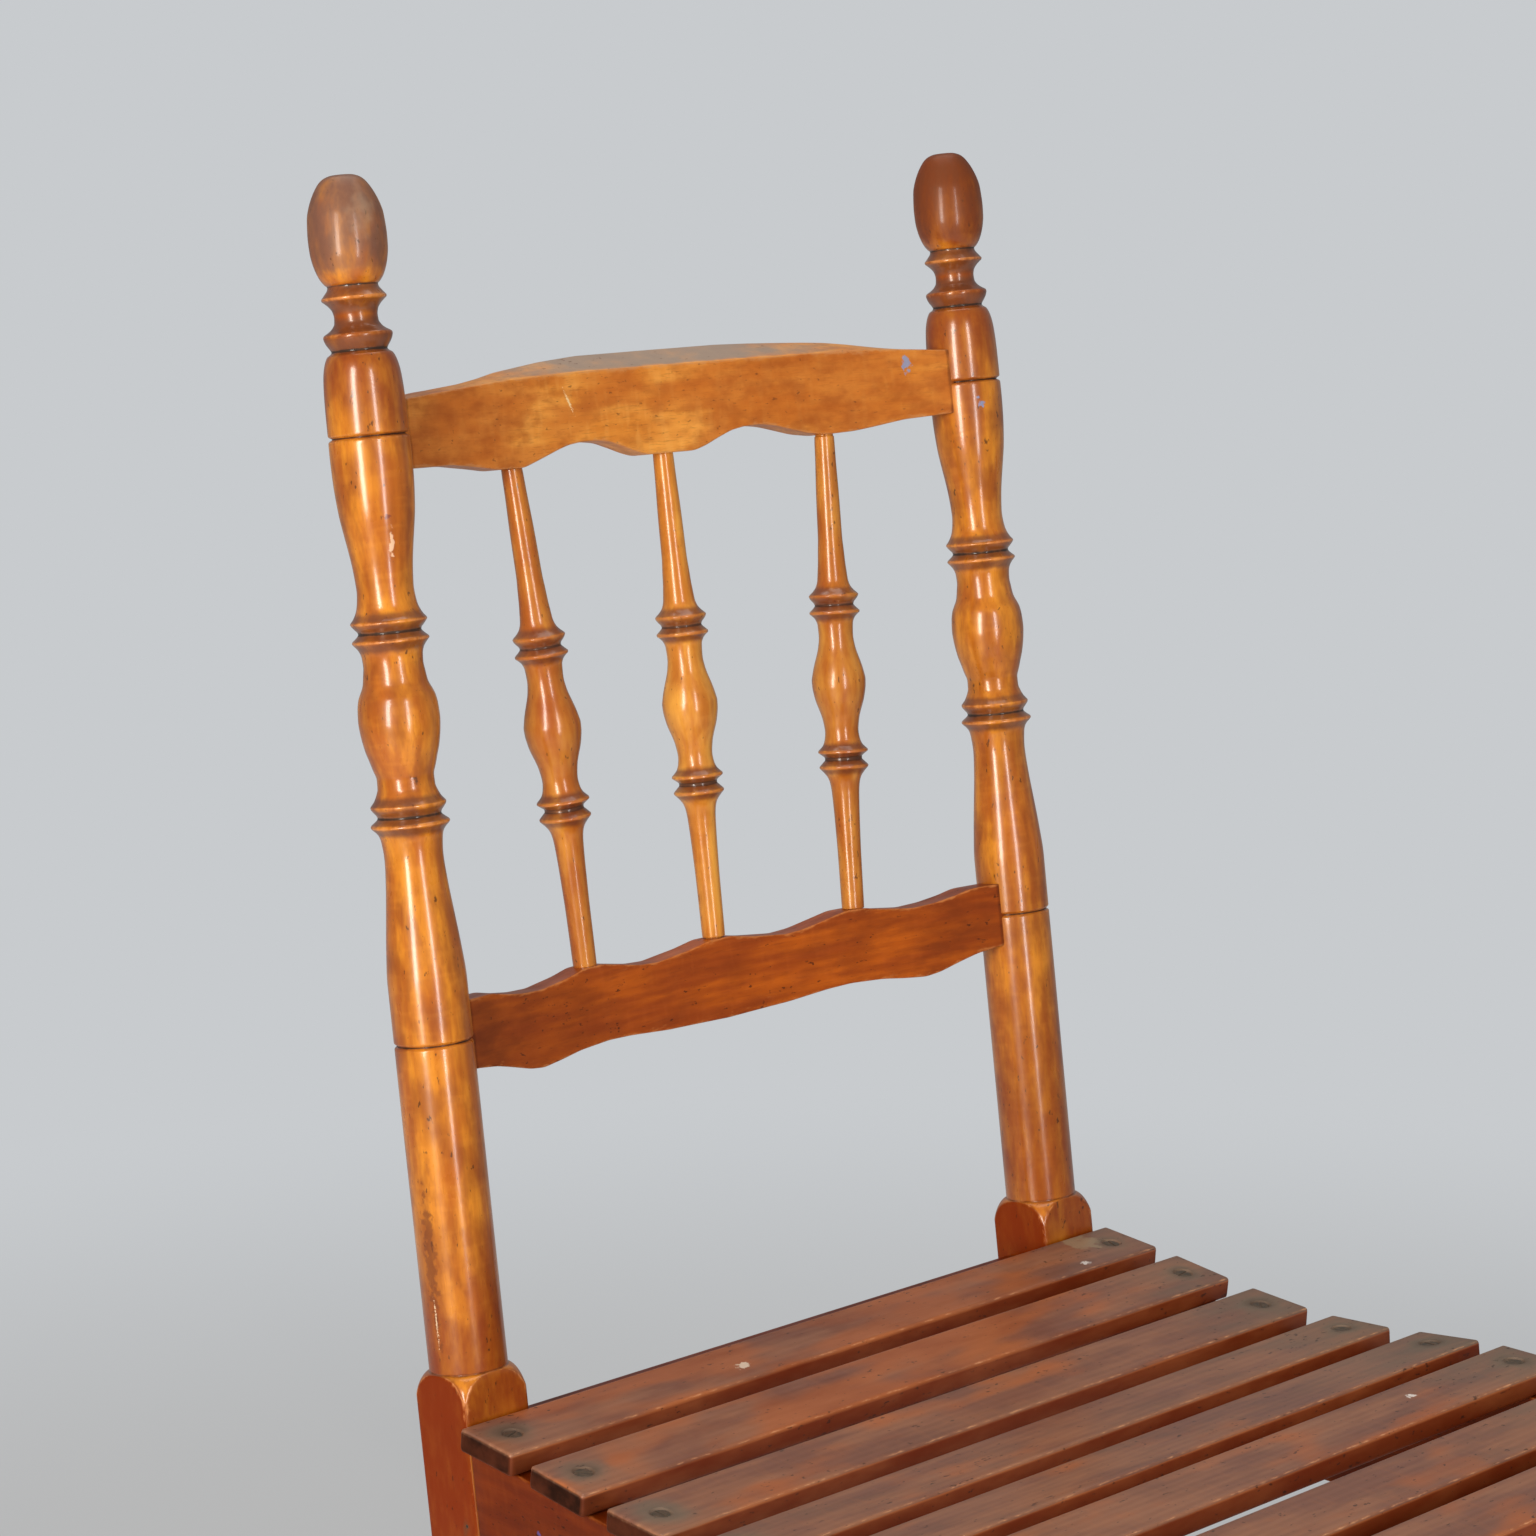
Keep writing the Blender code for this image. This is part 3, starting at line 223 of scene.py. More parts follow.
def startMaterial(name):
    # A new material with the two attributes that every piece carries: its place in the grain, and its marks
    made = bpy.data.materials.new(name)
    tree = emptyTree(made)
    grain, marks = (
        addNode(tree, "Attribute", None, "Vector", attribute_name=key) for key in ("grain", "marks"))
    return made, tree, grain, addNode(tree, "SeparateXYZ", {0: marks}).node.outputs


# Layers over the light wood, from below: what each follows, and between which of its values the layer sets
# in. Figure, mottles, growth rings and pores, thick or thin varnish, stain, fading, then dents, wear, wax
# and dirt
varnishLayers = (
    ("deep", "figure", 0.36, 0.64), ("mottle", "mottle", 0.42, 0.68), ("ring", "rings", 0.0, 1.0),
    ("curl", "curl", 0.50, 0.68), ("streak", "streak", 0.52, 0.78), ("patch", "patchy", 0.46, 0.66),
    ("toned", "stained", 0.0, 1.0), ("faded", "bleached", 0.12, 1.0), ("speck", "clustered", 0.775, 0.85),
    ("worn", "rubbed", 0.40, 1.15), ("wax", "grimed", 0.15, 0.75), ("dirt", "grimed", 0.72, 1.0),
)


def varnishedWood(look):
    # Old turned and sawn hardwood under thin shellac varnish: soft figure along the stick, mottled amber,
    # rubbed arrises and dirt in the hollows. The eye reads depth under a wet sheen, and bright worn edges
    made, tree, grain, (wear, grime, tone) = startMaterial(look["name"])
    found = {"wear": wear, "grime": grime, "tone": tone}

    # Patterns: how far each reaches across and along the stick, in millimetres
    for key, (across, along), detail in zip(
            ("figure", "mottle", "streak", "blotch", "rub", "curl", "speck", "peel"),
            (*look["patterns"], (16.0, 4.2), (2.2, 4.5), (1.5, 2.4)), (3, 3, 2, 2, 3, 1, 2, 1)):
        scale = (1 / (across * mm), 1 / (across * mm), 1 / (along * mm))
        stretched = addNode(tree, "VectorMath", {0: grain, 1: scale}, operation="MULTIPLY")
        found[key] = addNode(
            tree, "TexNoise", {0: stretched, "Scale": 1.0, "Detail": detail, "Roughness": 0.6})

    # Growth rings round a pith outside the stick, drawn out along it and bent by the figure
    drawn = addNode(tree, "VectorMath", {0: grain, 1: (1.0, 1.0, 0.06)}, operation="MULTIPLY")
    found["rings"] = addNode(tree, "TexWave", {
        0: drawn, "Scale": 0.314 / (look["ringWidth"] * mm), "Distortion": 5.0, "Detail": 3.0,
        "Detail Scale": 0.8,
    }, "Fac", wave_type="RINGS", rings_direction="Z")

    # What the layers follow, each layer's cover, then sheen and relief, as rows of a name, a kind and its
    # inputs. A sum is a source times a number plus another, and a ramp or cover goes from one range of
    # values to another
    total = ("Math", {"operation": "MULTIPLY_ADD"})
    ramp, cover = ("MapRange", {}), ("MapRange", {"interpolation_type": "SMOOTHSTEP"})
    unsigned = ("Math", {"operation": "ABSOLUTE"})
    gloss, coat = look["gloss"], look["coat"]
    covers = [(key + "Cover", cover, source, low, high, 0.0, share)
              for (key, source, low, high), share in zip(varnishLayers, look["shares"])]
    for key, (kind, settings), *inputs in (
            ("smudge", total, "mottle", 1.6, -0.8), ("halved", total, "smudge", 0.55, 0.0),
            ("stained", total, "tone", 1.0, "halved"), ("bleached", total, "tone", -1.0, "halved"),
            ("rubbing", total, "rub", 2.2, -1.1), ("rubbed", total, "wear", 1.0, "rubbing"),
            ("grimed", total, "smudge", 0.4, "grime"), ("patchy", total, "tone", 0.45, "blotch"),
            ("clustered", total, "blotch", 0.22, "speck"), *covers,
            # Glossier where the varnish is whole, dull in the dirt and where it is faded, weak on the
            # stained sides
            ("sheen", ramp, "mottle", 0.3, 0.7, *look["roughness"]), ("bare", unsigned, "tone"),
            ("handled", ramp, "bare", 0.45, 0.80, 0.0, 0.16), ("thinned", total, "handled", 1.0, "sheen"),
            ("dull", total, "dirtCover", 0.35, "thinned"),
            ("gloss", ramp, "tone", 0.6, 0.9, gloss, 0.3 * gloss),
            ("coat", ramp, "bare", 0.40, 0.82, coat, 0.1 * coat),
            # Grain lines, waviness, orange peel and small dents
            ("lined", total, "streak", 0.30, 0.0), ("waved", total, "mottle", 1.6, "lined"),
            ("peeled", total, "peel", 0.45, "waved"), ("dented", total, "speckCover", -0.6, "peeled")):
        links = {at: found.get(value, value) for at, value in enumerate(inputs)}
        found[key] = addNode(tree, kind, links, **settings)

    colour = linear(look["light"])
    for (key, *_), over in zip(varnishLayers, look["colours"].split()):
        colour = addNode(tree, "Mix", {0: found[key + "Cover"], 6: colour, 7: linear(over)}, 2,
                         data_type="RGBA", blend_type="MULTIPLY" if key == "ring" else "MIX")

    # Splashes of old paint and scratches, each a ragged spot round a place, drawn out along its own direction
    place = addNode(tree, "TexCoord", None, "Object")
    for spot in look.get("splashes", ()):
        spot = {"turn": (0, 0, 0), "squeeze": (1, 1, 1), "share": 0.85, "soft": 1.0, **spot}
        size, soft = spot["size"] * mm, 0.17 * spot["soft"]
        ragged = addNode(tree, "TexNoise", {0: place, "Scale": 1.3 / size, "Detail": 3.0})
        offset = addNode(tree, "VectorMath", {0: place, 1: spot["place"]}, operation="SUBTRACT")
        turned = addNode(
            tree, "VectorRotate", {0: offset, "Rotation": spot["turn"]}, rotation_type="EULER_XYZ")
        squeezed = addNode(tree, "VectorMath", {0: turned, 1: spot["squeeze"]}, operation="MULTIPLY")
        away = addNode(tree, "VectorMath", {0: squeezed}, "Value", operation="LENGTH")
        edge = addNode(tree, "Math", {0: ragged, 1: -2.2 * size, 2: away}, operation="MULTIPLY_ADD")
        inside = addNode(tree, "MapRange", {0: edge, 1: (soft - 0.48) * size, 2: -(soft + 0.48) * size,
                                            4: spot["share"]}, interpolation_type="SMOOTHSTEP")
        colour = addNode(tree, "Mix", {0: inside, 6: colour, 7: linear(spot["colour"])}, 2, data_type="RGBA")

    bump = addNode(
        tree, "Bump", {"Height": found["dented"], "Distance": look["relief"] * mm, "Strength": 1.0})
    shader = addNode(tree, "BsdfPrincipled", {
        "Base Color": colour, "Roughness": found["dull"], "Normal": bump, "IOR": 1.45,
        "Specular IOR Level": found["gloss"], "Specular Tint": linear(look["tint"]),
        "Coat Weight": found["coat"], "Coat Roughness": look["coatRoughness"],
    })
    addNode(tree, "OutputMaterial", {0: shader})
    return made


def darkIron(look):
    # Old wire nails and slotted wood screws, oxidised nearly black: brown-grey bloom, bright only where a
    # screwdriver rubbed the rim
    made, tree, grain, (wear, grime, _) = startMaterial(look["name"])
    bloom = addNode(tree, "TexNoise", {0: grain, "Scale": 1 / (look["bloomSize"] * mm), "Detail": 4.0})
    pits = addNode(tree, "TexNoise", {0: grain, "Scale": 1 / (look["pitSize"] * mm), "Detail": 2.0})
    rusty = addNode(tree, "MapRange", {0: bloom, 1: 0.35, 2: 0.65})
    rub = addNode(tree, "Math", {0: pits, 1: wear}, operation="MULTIPLY")
    bright = addNode(tree, "MapRange", {0: rub, 1: 0.3, 2: 0.7})
    colour = linear(look["dark"])
    for key, share in (("rust", rusty), ("bright", bright), ("grime", grime)):
        colour = addNode(tree, "Mix", {0: share, 6: colour, 7: linear(look[key])}, 2, data_type="RGBA")
    rough = addNode(tree, "MapRange", {0: pits, 1: 0.3, 2: 0.7, 3: 0.38, 4: 0.68})
    bump = addNode(tree, "Bump", {"Height": pits, "Distance": 0.06 * mm, "Strength": 1.0})
    shader = addNode(tree, "BsdfPrincipled", {
        "Base Color": colour, "Roughness": rough, "Normal": bump, "Metallic": 0.6})
    addNode(tree, "OutputMaterial", {0: shader})
    return made


# In each look the colours and shares are those of the layers, in their order. Patterns are the millimetres
# across and along the grain of figure, mottle, streak, blotch and rub. Splashes and scratches have places
# on the chair in metres
honeyPosts = varnishedWood({
    "name": "glossy honey varnish on turned birch", "light": "#D48422",
    "colours": "#B05E16 #8A420C #D0A070 #EE9C36 #8A4214 #7E380E "
               "#7A2902 #705044 #3C1A08 #D98C50 #6C3A20 #1E0D06",
    "shares": (1.0, 0.48, 0.18, 0.10, 0.26, 0.42, 1.0, 0.94, 0.8, 0.6, 0.85, 0.95), "ringWidth": 5.0,
    "patterns": ((11.0, 46.0), (8.0, 20.0), (0.8, 11.0), (18.0, 40.0), (2.4, 4.5)), "relief": 0.045,
    "roughness": (0.26, 0.38), "gloss": 0.5, "tint": "#FFDDB8", "coat": 0.62, "coatRoughness": 0.16,
    "splashes": (
        {"place": (-0.1965, 0.2018, 0.8440), "size": 2.4, "colour": "#6A1E10"},
        {"place": (-0.1950, 0.2003, 0.8320), "size": 2.8, "colour": "#E4BC98", "squeeze": (1.6, 1, 0.35)},
        {"place": (-0.2078, 0.1665, 0.5100), "size": 4.6, "colour": "#6A300F", "turn": (chair["rake"], 0, 0),
         "squeeze": (1, 1, 0.1), "share": 0.6},
        {"place": (-0.2086, 0.1630, 0.4830), "size": 0.9, "colour": "#EACBA4", "turn": (chair["rake"], 0, 0),
         "squeeze": (1, 1, 0.06)},
        {"place": (0.1843, 0.2034, 0.8676), "size": 2.2, "colour": "#7C8CB0"},
        {"place": (0.1822, 0.2049, 0.8712), "size": 1.6, "colour": "#7C8CB0"},
        {"place": (-0.1922, 0.2206, 0.9770), "size": 7.0, "colour": "#A08870", "share": 0.5,
         "squeeze": (1, 1, 0.6), "soft": 5.0},
    ),
})
amberSpindles = varnishedWood({
    "name": "glossy amber varnish on turned maple", "light": "#DE983A",
    "colours": "#C07220 #9C4E12 #D0A070 #F0A446 #96481A #924A14 "
               "#8E3404 #8F6E5C #3C1A08 #B4683C #6A3620 #34190E",
    "shares": (1.0, 0.32, 0.16, 0.08, 0.14, 0.30, 1.0, 0.9, 0.75, 0.6, 0.85, 0.85), "ringWidth": 4.0,
    "patterns": ((10.0, 60.0), (10.0, 28.0), (0.8, 11.0), (18.0, 44.0), (2.2, 4.0)), "relief": 0.03,
    "roughness": (0.28, 0.38), "gloss": 0.5, "tint": "#FFDDB8", "coat": 0.6, "coatRoughness": 0.17,
})
yellowCrest = varnishedWood({
    "name": "rubbed yellow-brown varnish on sawn maple", "light": "#EC9E42",
    "colours": "#D8842E #A45A1E #D8AC7C #F6B65C #7C4216 #B4581A "
               "#984A12 #948476 #5E3216 #C78F5A #5E3018 #2A1409",
    "shares": (1.0, 0.42, 0.20, 0.16, 0.40, 0.55, 1.0, 0.92, 0.6, 0.45, 0.70, 0.9), "ringWidth": 6.0,
    "patterns": ((18.0, 48.0), (8.0, 15.0), (0.8, 7.0), (24.0, 60.0), (2.6, 5.0)), "relief": 0.055,
    "roughness": (0.32, 0.46), "gloss": 0.42, "tint": "#FFE4CC", "coat": 0.12, "coatRoughness": 0.2,
    "splashes": (
        {"place": (-0.0641, 0.2338, 0.8841), "size": 0.9, "colour": "#EFD09A",
         "turn": (0, np.radians(24.6), 0), "squeeze": (1, 1, 0.08)},
        {"place": (0.1485, 0.2217, 0.8888), "size": 3.6, "colour": "#8290AC", "squeeze": (1, 1, 0.6)},
    ),
})
redLowerRail = varnishedWood({
    "name": "red-brown varnish on sawn maple", "light": "#BC5A12",
    "colours": "#9C4412 #80340C #B48A64 #C06428 #682E10 #7A300A "
               "#6A2A08 #7C5C4A #33160A #C67C42 #4C2110 #200D06",
    "shares": (1.0, 0.30, 0.20, 0.08, 0.30, 0.40, 1.0, 0.9, 0.75, 0.65, 0.70, 0.9), "ringWidth": 5.0,
    "patterns": ((12.0, 70.0), (8.0, 24.0), (0.8, 12.0), (20.0, 60.0), (2.4, 7.0)), "relief": 0.05,
    "roughness": (0.30, 0.42), "gloss": 0.36, "tint": "#FFE0C4", "coat": 0.10, "coatRoughness": 0.16,
})
oxbloodRails = varnishedWood({
    "name": "deep red-brown stain and varnish on sawn beech", "light": "#742B03",
    "colours": "#682204 #5E2006 #A87A5A #98481A #521E08 #561C04 "
               "#4E1A04 #6C4A3A #2A1006 #A85F2C #3A170A #1C0B05",
    "shares": (1.0, 0.35, 0.20, 0.08, 0.30, 0.40, 1.0, 0.9, 0.75, 0.55, 0.7, 0.9), "ringWidth": 5.0,
    "patterns": ((12.0, 70.0), (8.0, 24.0), (0.8, 16.0), (20.0, 60.0), (2.4, 7.0)), "relief": 0.05,
    "roughness": (0.32, 0.46), "gloss": 0.16, "tint": "#FFDDBE", "coat": 0.05, "coatRoughness": 0.2,
    "splashes": ({"place": (-0.2090, 0.0917, 0.4029), "size": 1.8, "colour": "#5A4C86"},),
})
mauveSlats = varnishedWood({
    "name": "satin mauve-brown varnish on sawn birch slats", "light": "#966448",
    "colours": "#7E5240 #6C483C #B08A68 #B06E42 #5C301C #B4602A "
               "#6A2304 #6E6454 #2C1A14 #D09468 #3A1C0D #170904",
    "shares": (1.0, 0.36, 0.16, 0.08, 0.08, 0.62, 1.0, 0.80, 0.75, 0.75, 0.8, 0.9), "ringWidth": 5.0,
    "patterns": ((18.0, 80.0), (16.0, 50.0), (0.8, 12.0), (30.0, 80.0), (2.0, 6.0)), "relief": 0.05,
    "roughness": (0.34, 0.46), "gloss": 0.42, "tint": "#FFF0E0", "coat": 0.10, "coatRoughness": 0.22,
    "splashes": (
        {"place": (-0.0639, 0.1158, 0.4392), "size": 3.6, "colour": "#E6CFB4", "squeeze": (0.6, 1, 0.4)},
        {"place": (0.1877, 0.1301, 0.4395), "size": 11.0, "colour": "#A09070", "squeeze": (0.7, 1, 0.5),
         "share": 0.5},
        {"place": (0.1669, 0.1090, 0.4385), "size": 2.8, "colour": "#E0D6CC", "squeeze": (0.7, 1, 0.4)},
        {"place": (0.1268, -0.1280, 0.4405), "size": 2.6, "colour": "#F0E4D8", "squeeze": (0.7, 1, 0.4)},
    ),
})
blackIron = darkIron({
    "name": "oxidised iron of old slotted screws", "dark": "#4E463A", "rust": "#6A5644", "bright": "#8E8474",
    "grime": "#221C16", "bloomSize": 2.5, "pitSize": 0.5,
})
print("materials made")


# Turned posts and legs. Places round a quarter of a ring: along its face, evenly or crowded at the arrises,
# and past it
evenPlaces = np.linspace(-1, 1, 15)[:-1]
crowdedPlaces = np.array([
    -1, -0.965, -0.91, -0.80, -0.62, -0.42, -0.2, 0, 0.2, 0.42, 0.62, 0.80, 0.91, 0.965])
arcPlaces = np.linspace(0, 1, 6)[:-1]
roundSplit = np.radians(26.25)  # evenly spaced places round a turned ring
cornerReach = chair["halfSquare"] * np.sqrt(2) - 0.75 * mm  # the corners are rubbed back to this
endInset = np.array([0.0, 0.35, 1.1, 2.2]) * mm  # the eased edge of a square end, and how far each ring of it
endRise = np.array([0.8, 0.25, 0.0, 0.0]) * mm  # stands back from the end

# The domed shoulder: a quarter of an ellipse turned round the stick, from the neck out to past the corners.
# The rim is where it would meet the square's corner
dome = {
    "height": 22.5, "rim": 26.9, "centre": 17.0, "neck": 18.0, "rings": 34,
    "easing": 0.045,  # how round the arris is, as a share of half the square
    "rubbed": 1.1,  # how far the wear reaches from the arris, in millimetres
    "wax": 0.5,  # dirt in the corner where the turning meets the dome
}
domeWidth = dome["rim"] - dome["centre"]
domeAngle = np.linspace(np.arcsin((dome["neck"] - dome["centre"]) / domeWidth), np.pi / 2, dome["rings"])
domeRise = dome["height"] * (1 - np.cos(domeAngle))
domeReach = np.minimum((dome["centre"] + domeWidth * np.sin(domeAngle)) * mm, cornerReach)


def stickRings(side, line, y, z, lean, halfWidth, halfDepth):
    # Rings round a stick that is turned, then square past a domed shoulder: in each direction the point
    # lies at the smaller of the turning's radius and the square's face, eased into each other, and the
    # places crowd at the arris between them. Also gives what the marks follow: the places sideways and in
    # depth, the arris, the turning's wear and grime, and 1 for the rings of the square
    _, radius, wear, grime = line
    later = len(z) - len(radius)
    squared = np.pad(np.ones(later), (len(radius), 0))[:, None]
    reach = np.concatenate([radius, domeReach, np.full(later - len(domeReach), cornerReach)])
    shape = (reach / chair["halfSquare"])[:, None]
    cut = np.arccos(1 / np.maximum(shape, 1.0))
    split = np.where(squared > 0, np.clip(cut, *np.radians((4, 44))), roundSplit)
    arc = (np.pi / 4 - split) * arcPlaces
    flat = (evenPlaces + (crowdedPlaces - evenPlaces) * squared) * split
    local = np.tile(np.concatenate([arc - np.pi / 4, flat, split + arc], axis=1), (1, 4))
    angle = local + np.repeat(np.arange(4) * np.pi / 2, local.shape[1] // 4)
    face = 1 / np.cos(local)
    eased = (shape + face - np.sqrt((shape - face) ** 2 + (dome["easing"] * squared) ** 2)) / 2
    away = np.where(squared > 0, eased, shape)
    y, z, lean, halfWidth, halfDepth = (values[:, None] for values in (y, z, lean, halfWidth, halfDepth))
    sideways, depth = halfWidth * away * np.sin(angle), -halfDepth * away * np.cos(angle)
    rings = stacked(side * chair["postX"] + sideways, y + depth * np.cos(lean), z - depth * np.sin(lean))
    fromArris = np.abs(np.abs(local) - split) * shape * chair["halfSquare"]
    arris = np.exp(-fromArris / (dome["rubbed"] * mm)) * squared
    wear, grime = (np.pad(values, (0, later)) for values in (wear, grime))
    grime[len(radius) - 3:len(radius) + 2] = dome["wax"]
    return rings, sideways, depth, arris, wear[:, None], grime[:, None], squared


def facesOf(sideways, depth, inDome):
    # 1 on the faces of a square, 0 on the dome that cuts its corners, and whether a place is on an outer or
    # inner face
    face = np.maximum(np.abs(sideways), np.abs(depth)) / chair["halfSquare"]
    return np.where(inDome, np.clip((face - 0.94) / 0.05, 0, 1), 1), np.abs(sideways) > np.abs(depth) * 1.02


backPost = {
    "rings": 400,
    "shoulderUp": 4.3,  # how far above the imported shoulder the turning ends
    "bendBelow": 116.4,  # down the post from the shoulder, where the leg starts to bend
    "bendLength": 120.0,
    "footDepth": 14.5,  # half the foot, from front to back and from side to side
    "footWidth": 15.5,
    "legLength": 520,  # along the leg from the shoulder to past the floor
    "sideStainAndShade": 0.90,  # tone of the square's outer and inner faces (stain and painted shade), and of its front and back
    "frontStain": 0.50,
    "collars": ((0.38, 455, 26), (0.34, 481, 13)),  # darker bands below the finial: tone, height and spread
    # How strongly the finial's own grime and tone cover it: from this height up, and more towards its top
    "crown": {"from": 495, "over": 8, "share": 0.70, "topFrom": 508, "topOver": 30, "topShare": 0.24},
    # Heights above the shoulder and radii, in millimetres, from the top down
    "turning": (
        (544.3, 0), (544.3, 4.5), (543.6, 7.2), (542, 9.7), (538, 12.7), (534, 14.7), (530.5, 16),
        (527, 16.9), (523, 17.3), (517, 17.6), (511, 17.4), (506.5, 16.7), (502.5, 15.6), (499, 14.1),
        (496.6, 12.4), (495.4, 11.3), (494.4, 11.5), (492.4, 12.9), (490.9, 14.1), (490.2, 14.6),
        (489.6, 14.5), (488.6, 13.5), (486.8, 11.6), (484.6, 10.2), (482, 9.7), (479.4, 9.9), (477.2, 11.1),
        (475.6, 12.9), (474.6, 14.6), (474, 15.3), (473.2, 15.5), (471.8, 15.2), (470, 14.4), (468, 13.1),
        (466.7, 12.5), (465.9, 13), (464.8, 14.6), (462, 16), (458.5, 16.9), (455, 17.4), (447, 17.9),
        (438, 18.1), (430.2, 18.15), (429.5, 17.9), (428.4, 16.4), (427.3, 17.9), (426.6, 18.2),
        (420, 18.3), (409, 18.1), (402, 17.7), (394, 17), (386.5, 15.9), (379, 14.7), (371, 13.6),
        (364, 13), (360, 12.8), (356, 13.1), (352, 13.8), (349.2, 14.9), (347.2, 16.1), (346, 17.1),
        (345.4, 17.3), (344.8, 17), (343, 15.6), (341.6, 14.4), (340.8, 14.2), (340, 14.6), (338.6, 16),
        (337.5, 17.2), (336.9, 17.4), (336.2, 17), (334.6, 15.6), (332.6, 14.4), (330, 13.7), (326, 13.5),
        (322, 14), (318, 14.6), (311, 17.4), (307, 18.1), (301, 18.4), (296, 18), (288, 16.6), (284, 15.4),
        (280, 14.3), (275, 12.9), (271, 13), (268, 13.9), (265.2, 15.3), (263.6, 16.6), (262.8, 17.1),
        (262.1, 17), (260.4, 15.9), (258.8, 14.7), (257.8, 14.4), (257, 14.8), (255.6, 16.4), (254.5, 17.7),
        (253.8, 17.9), (253, 17.4), (251.4, 15.8), (249.6, 14.6), (247, 13.9), (239, 13.3), (227, 14),
        (212, 15.5), (197, 17), (182, 18), (170, 18), (156, 18), (155.4, 17.7), (154.4, 16.6),
        (153.4, 17.7), (152.8, 18), (120, 18.05), (60, 18), (5.1, 18), (4.4, 17.7),
    ),
    "waxed": ((341.0, 8.5), (258.3, 8.5), (489.5, 6.0), (473.5, 7.5)),
    # How the two posts differ: rubbed arris of the dome, grime and tone of the finial, then how far up the
    # turning its dark lower end reaches, and the tone of that
    "left": {"arris": 0.75, "grime": 0.32, "finial": -0.92, "lowReach": 90, "low": 0.60},
    "right": {"arris": 0.35, "grime": 0.66, "finial": 0.92, "lowReach": 220, "low": 0.42},
}


def buildBackPosts():
    # Above the shoulder the stick's middle follows the rake. Below, it is summed up by the distance down
    # from there: straight at the rake, then its lean turns evenly to the kick, then straight
    line = turnedLine(backPost["turning"], backPost["rings"], backPost["waxed"])
    bend, bendLength = backPost["bendBelow"] * mm, backPost["bendLength"] * mm
    travel = np.linspace(0, backPost["legLength"] * mm, 10 * backPost["legLength"] + 1)  # 0.1 mm steps
    travelLean = chair["rake"] - (chair["rake"] + chair["kick"]) * np.clip((travel - bend) / bendLength, 0, 1)
    travelY, travelZ = (
        start - np.concatenate([[0], np.cumsum(wave(travelLean[:-1]) * travel[1])])
        for start, wave in ((shoulderY, np.sin), (chair["shoulderZ"], np.cos)))
    footY, footDown = np.interp(0, -travelZ, travelY), np.interp(0, -travelZ, travel)
    down = np.concatenate([
        -line[0], (domeRise - backPost["shoulderUp"]) * mm, np.linspace(21.5 * mm, bend, 14),
        np.linspace((backPost["bendBelow"] + 6) * mm, 250 * mm, 22),
        np.linspace(265 * mm, footDown - 1.2 * mm, 12)])
    y, z, lean = (np.interp(down, travel, values) for values in (travelY, travelZ, travelLean))
    y = np.where(down < 0, shoulderY - down * sinRake, y)
    z = np.where(down < 0, chair["shoulderZ"] - down * cosRake, z)
    bendZ = chair["railBottomZ"] - 18 * mm
    taper = np.clip((bendZ - z) / bendZ, 0, 1)
    footWidth, footDepth = backPost["footWidth"] * mm, backPost["footDepth"] * mm
    halfWidth, halfDepth = (
        chair["halfSquare"] + (foot - chair["halfSquare"]) * taper for foot in (footWidth, footDepth))
    # The foot: an eased lower edge, then flat on the floor
    lean[-1] = 0.0
    level = np.zeros(4)
    ends = (level + footY, endRise, level, footWidth - endInset, footDepth - endInset, level + footDown)
    y, z, lean, halfWidth, halfDepth, down = (
        np.concatenate(pair) for pair in zip((y, z, lean, halfWidth, halfDepth, down), ends))
    up = -down[:, None] / mm
    crest = np.exp(-((up + 4) / 9) ** 2)  # the dome's own arris is rubbed palest
    finial = backPost["crown"]
    topShare = finial["topShare"] * np.clip((up - finial["topFrom"]) / finial["topOver"], 0, 1)
    crown = np.clip((up - finial["from"]) / finial["over"], 0, 1) * (finial["share"] + topShare)
    collar = sum(
        tone * np.exp(-((up - height) / spread) ** 2) for tone, height, spread in backPost["collars"])
    leg = np.clip(-up / 120 - 0.4, 0, 1)
    for side, word in sides:
        own = backPost[word]
        rings, sideways, depth, arris, wear, grime, squared = stickRings(
            side, line, y, z, lean, halfWidth, halfDepth)
        wear = np.maximum((0.35 + own["arris"] * crest) * arris, wear) * (1 - 0.6 * crown)
        pinMiddle = boxOf(f"rail_pin_rear_{word}").mean(axis=0)
        fromPin = np.hypot(rings[..., 1] - pinMiddle[1], rings[..., 2] - pinMiddle[2])
        outside = side * sideways > 0.9 * chair["halfSquare"]
        atPin = np.exp(-np.clip(fromPin - 1.5 * mm, 0, 1) / (0.9 * mm)) * outside
        grime = np.maximum(np.maximum(grime, atPin), own["grime"] * crown)
        # The squares took the stain up to the dome's edge, and painted shade darkens their outer and inner
        # faces
        faces, onSide = facesOf(sideways, depth, up > -6)
        stain = np.where(onSide, backPost["sideStainAndShade"] - 0.25 * leg, backPost["frontStain"] + 0.06 * leg)
        sawn = faces * squared * stain
        low = np.clip(1 - up / own["lowReach"], 0, 1) * (1 - squared)
        tone = sawn + own["finial"] * crown + collar + own["low"] * low
        grain = stacked(
            sideways + (0.031 + 0.2 * (side > 0)), depth + 0.024, 0.7 * (side > 0) - down[:, None])
        marks = marksOf(wear, grime, tone)
        closedSkin(f"{word}_back_post", [(rings, grain, marks)], f"back_post_{word}", "post_wood", honeyPosts)


buildBackPosts()
print("back posts made")

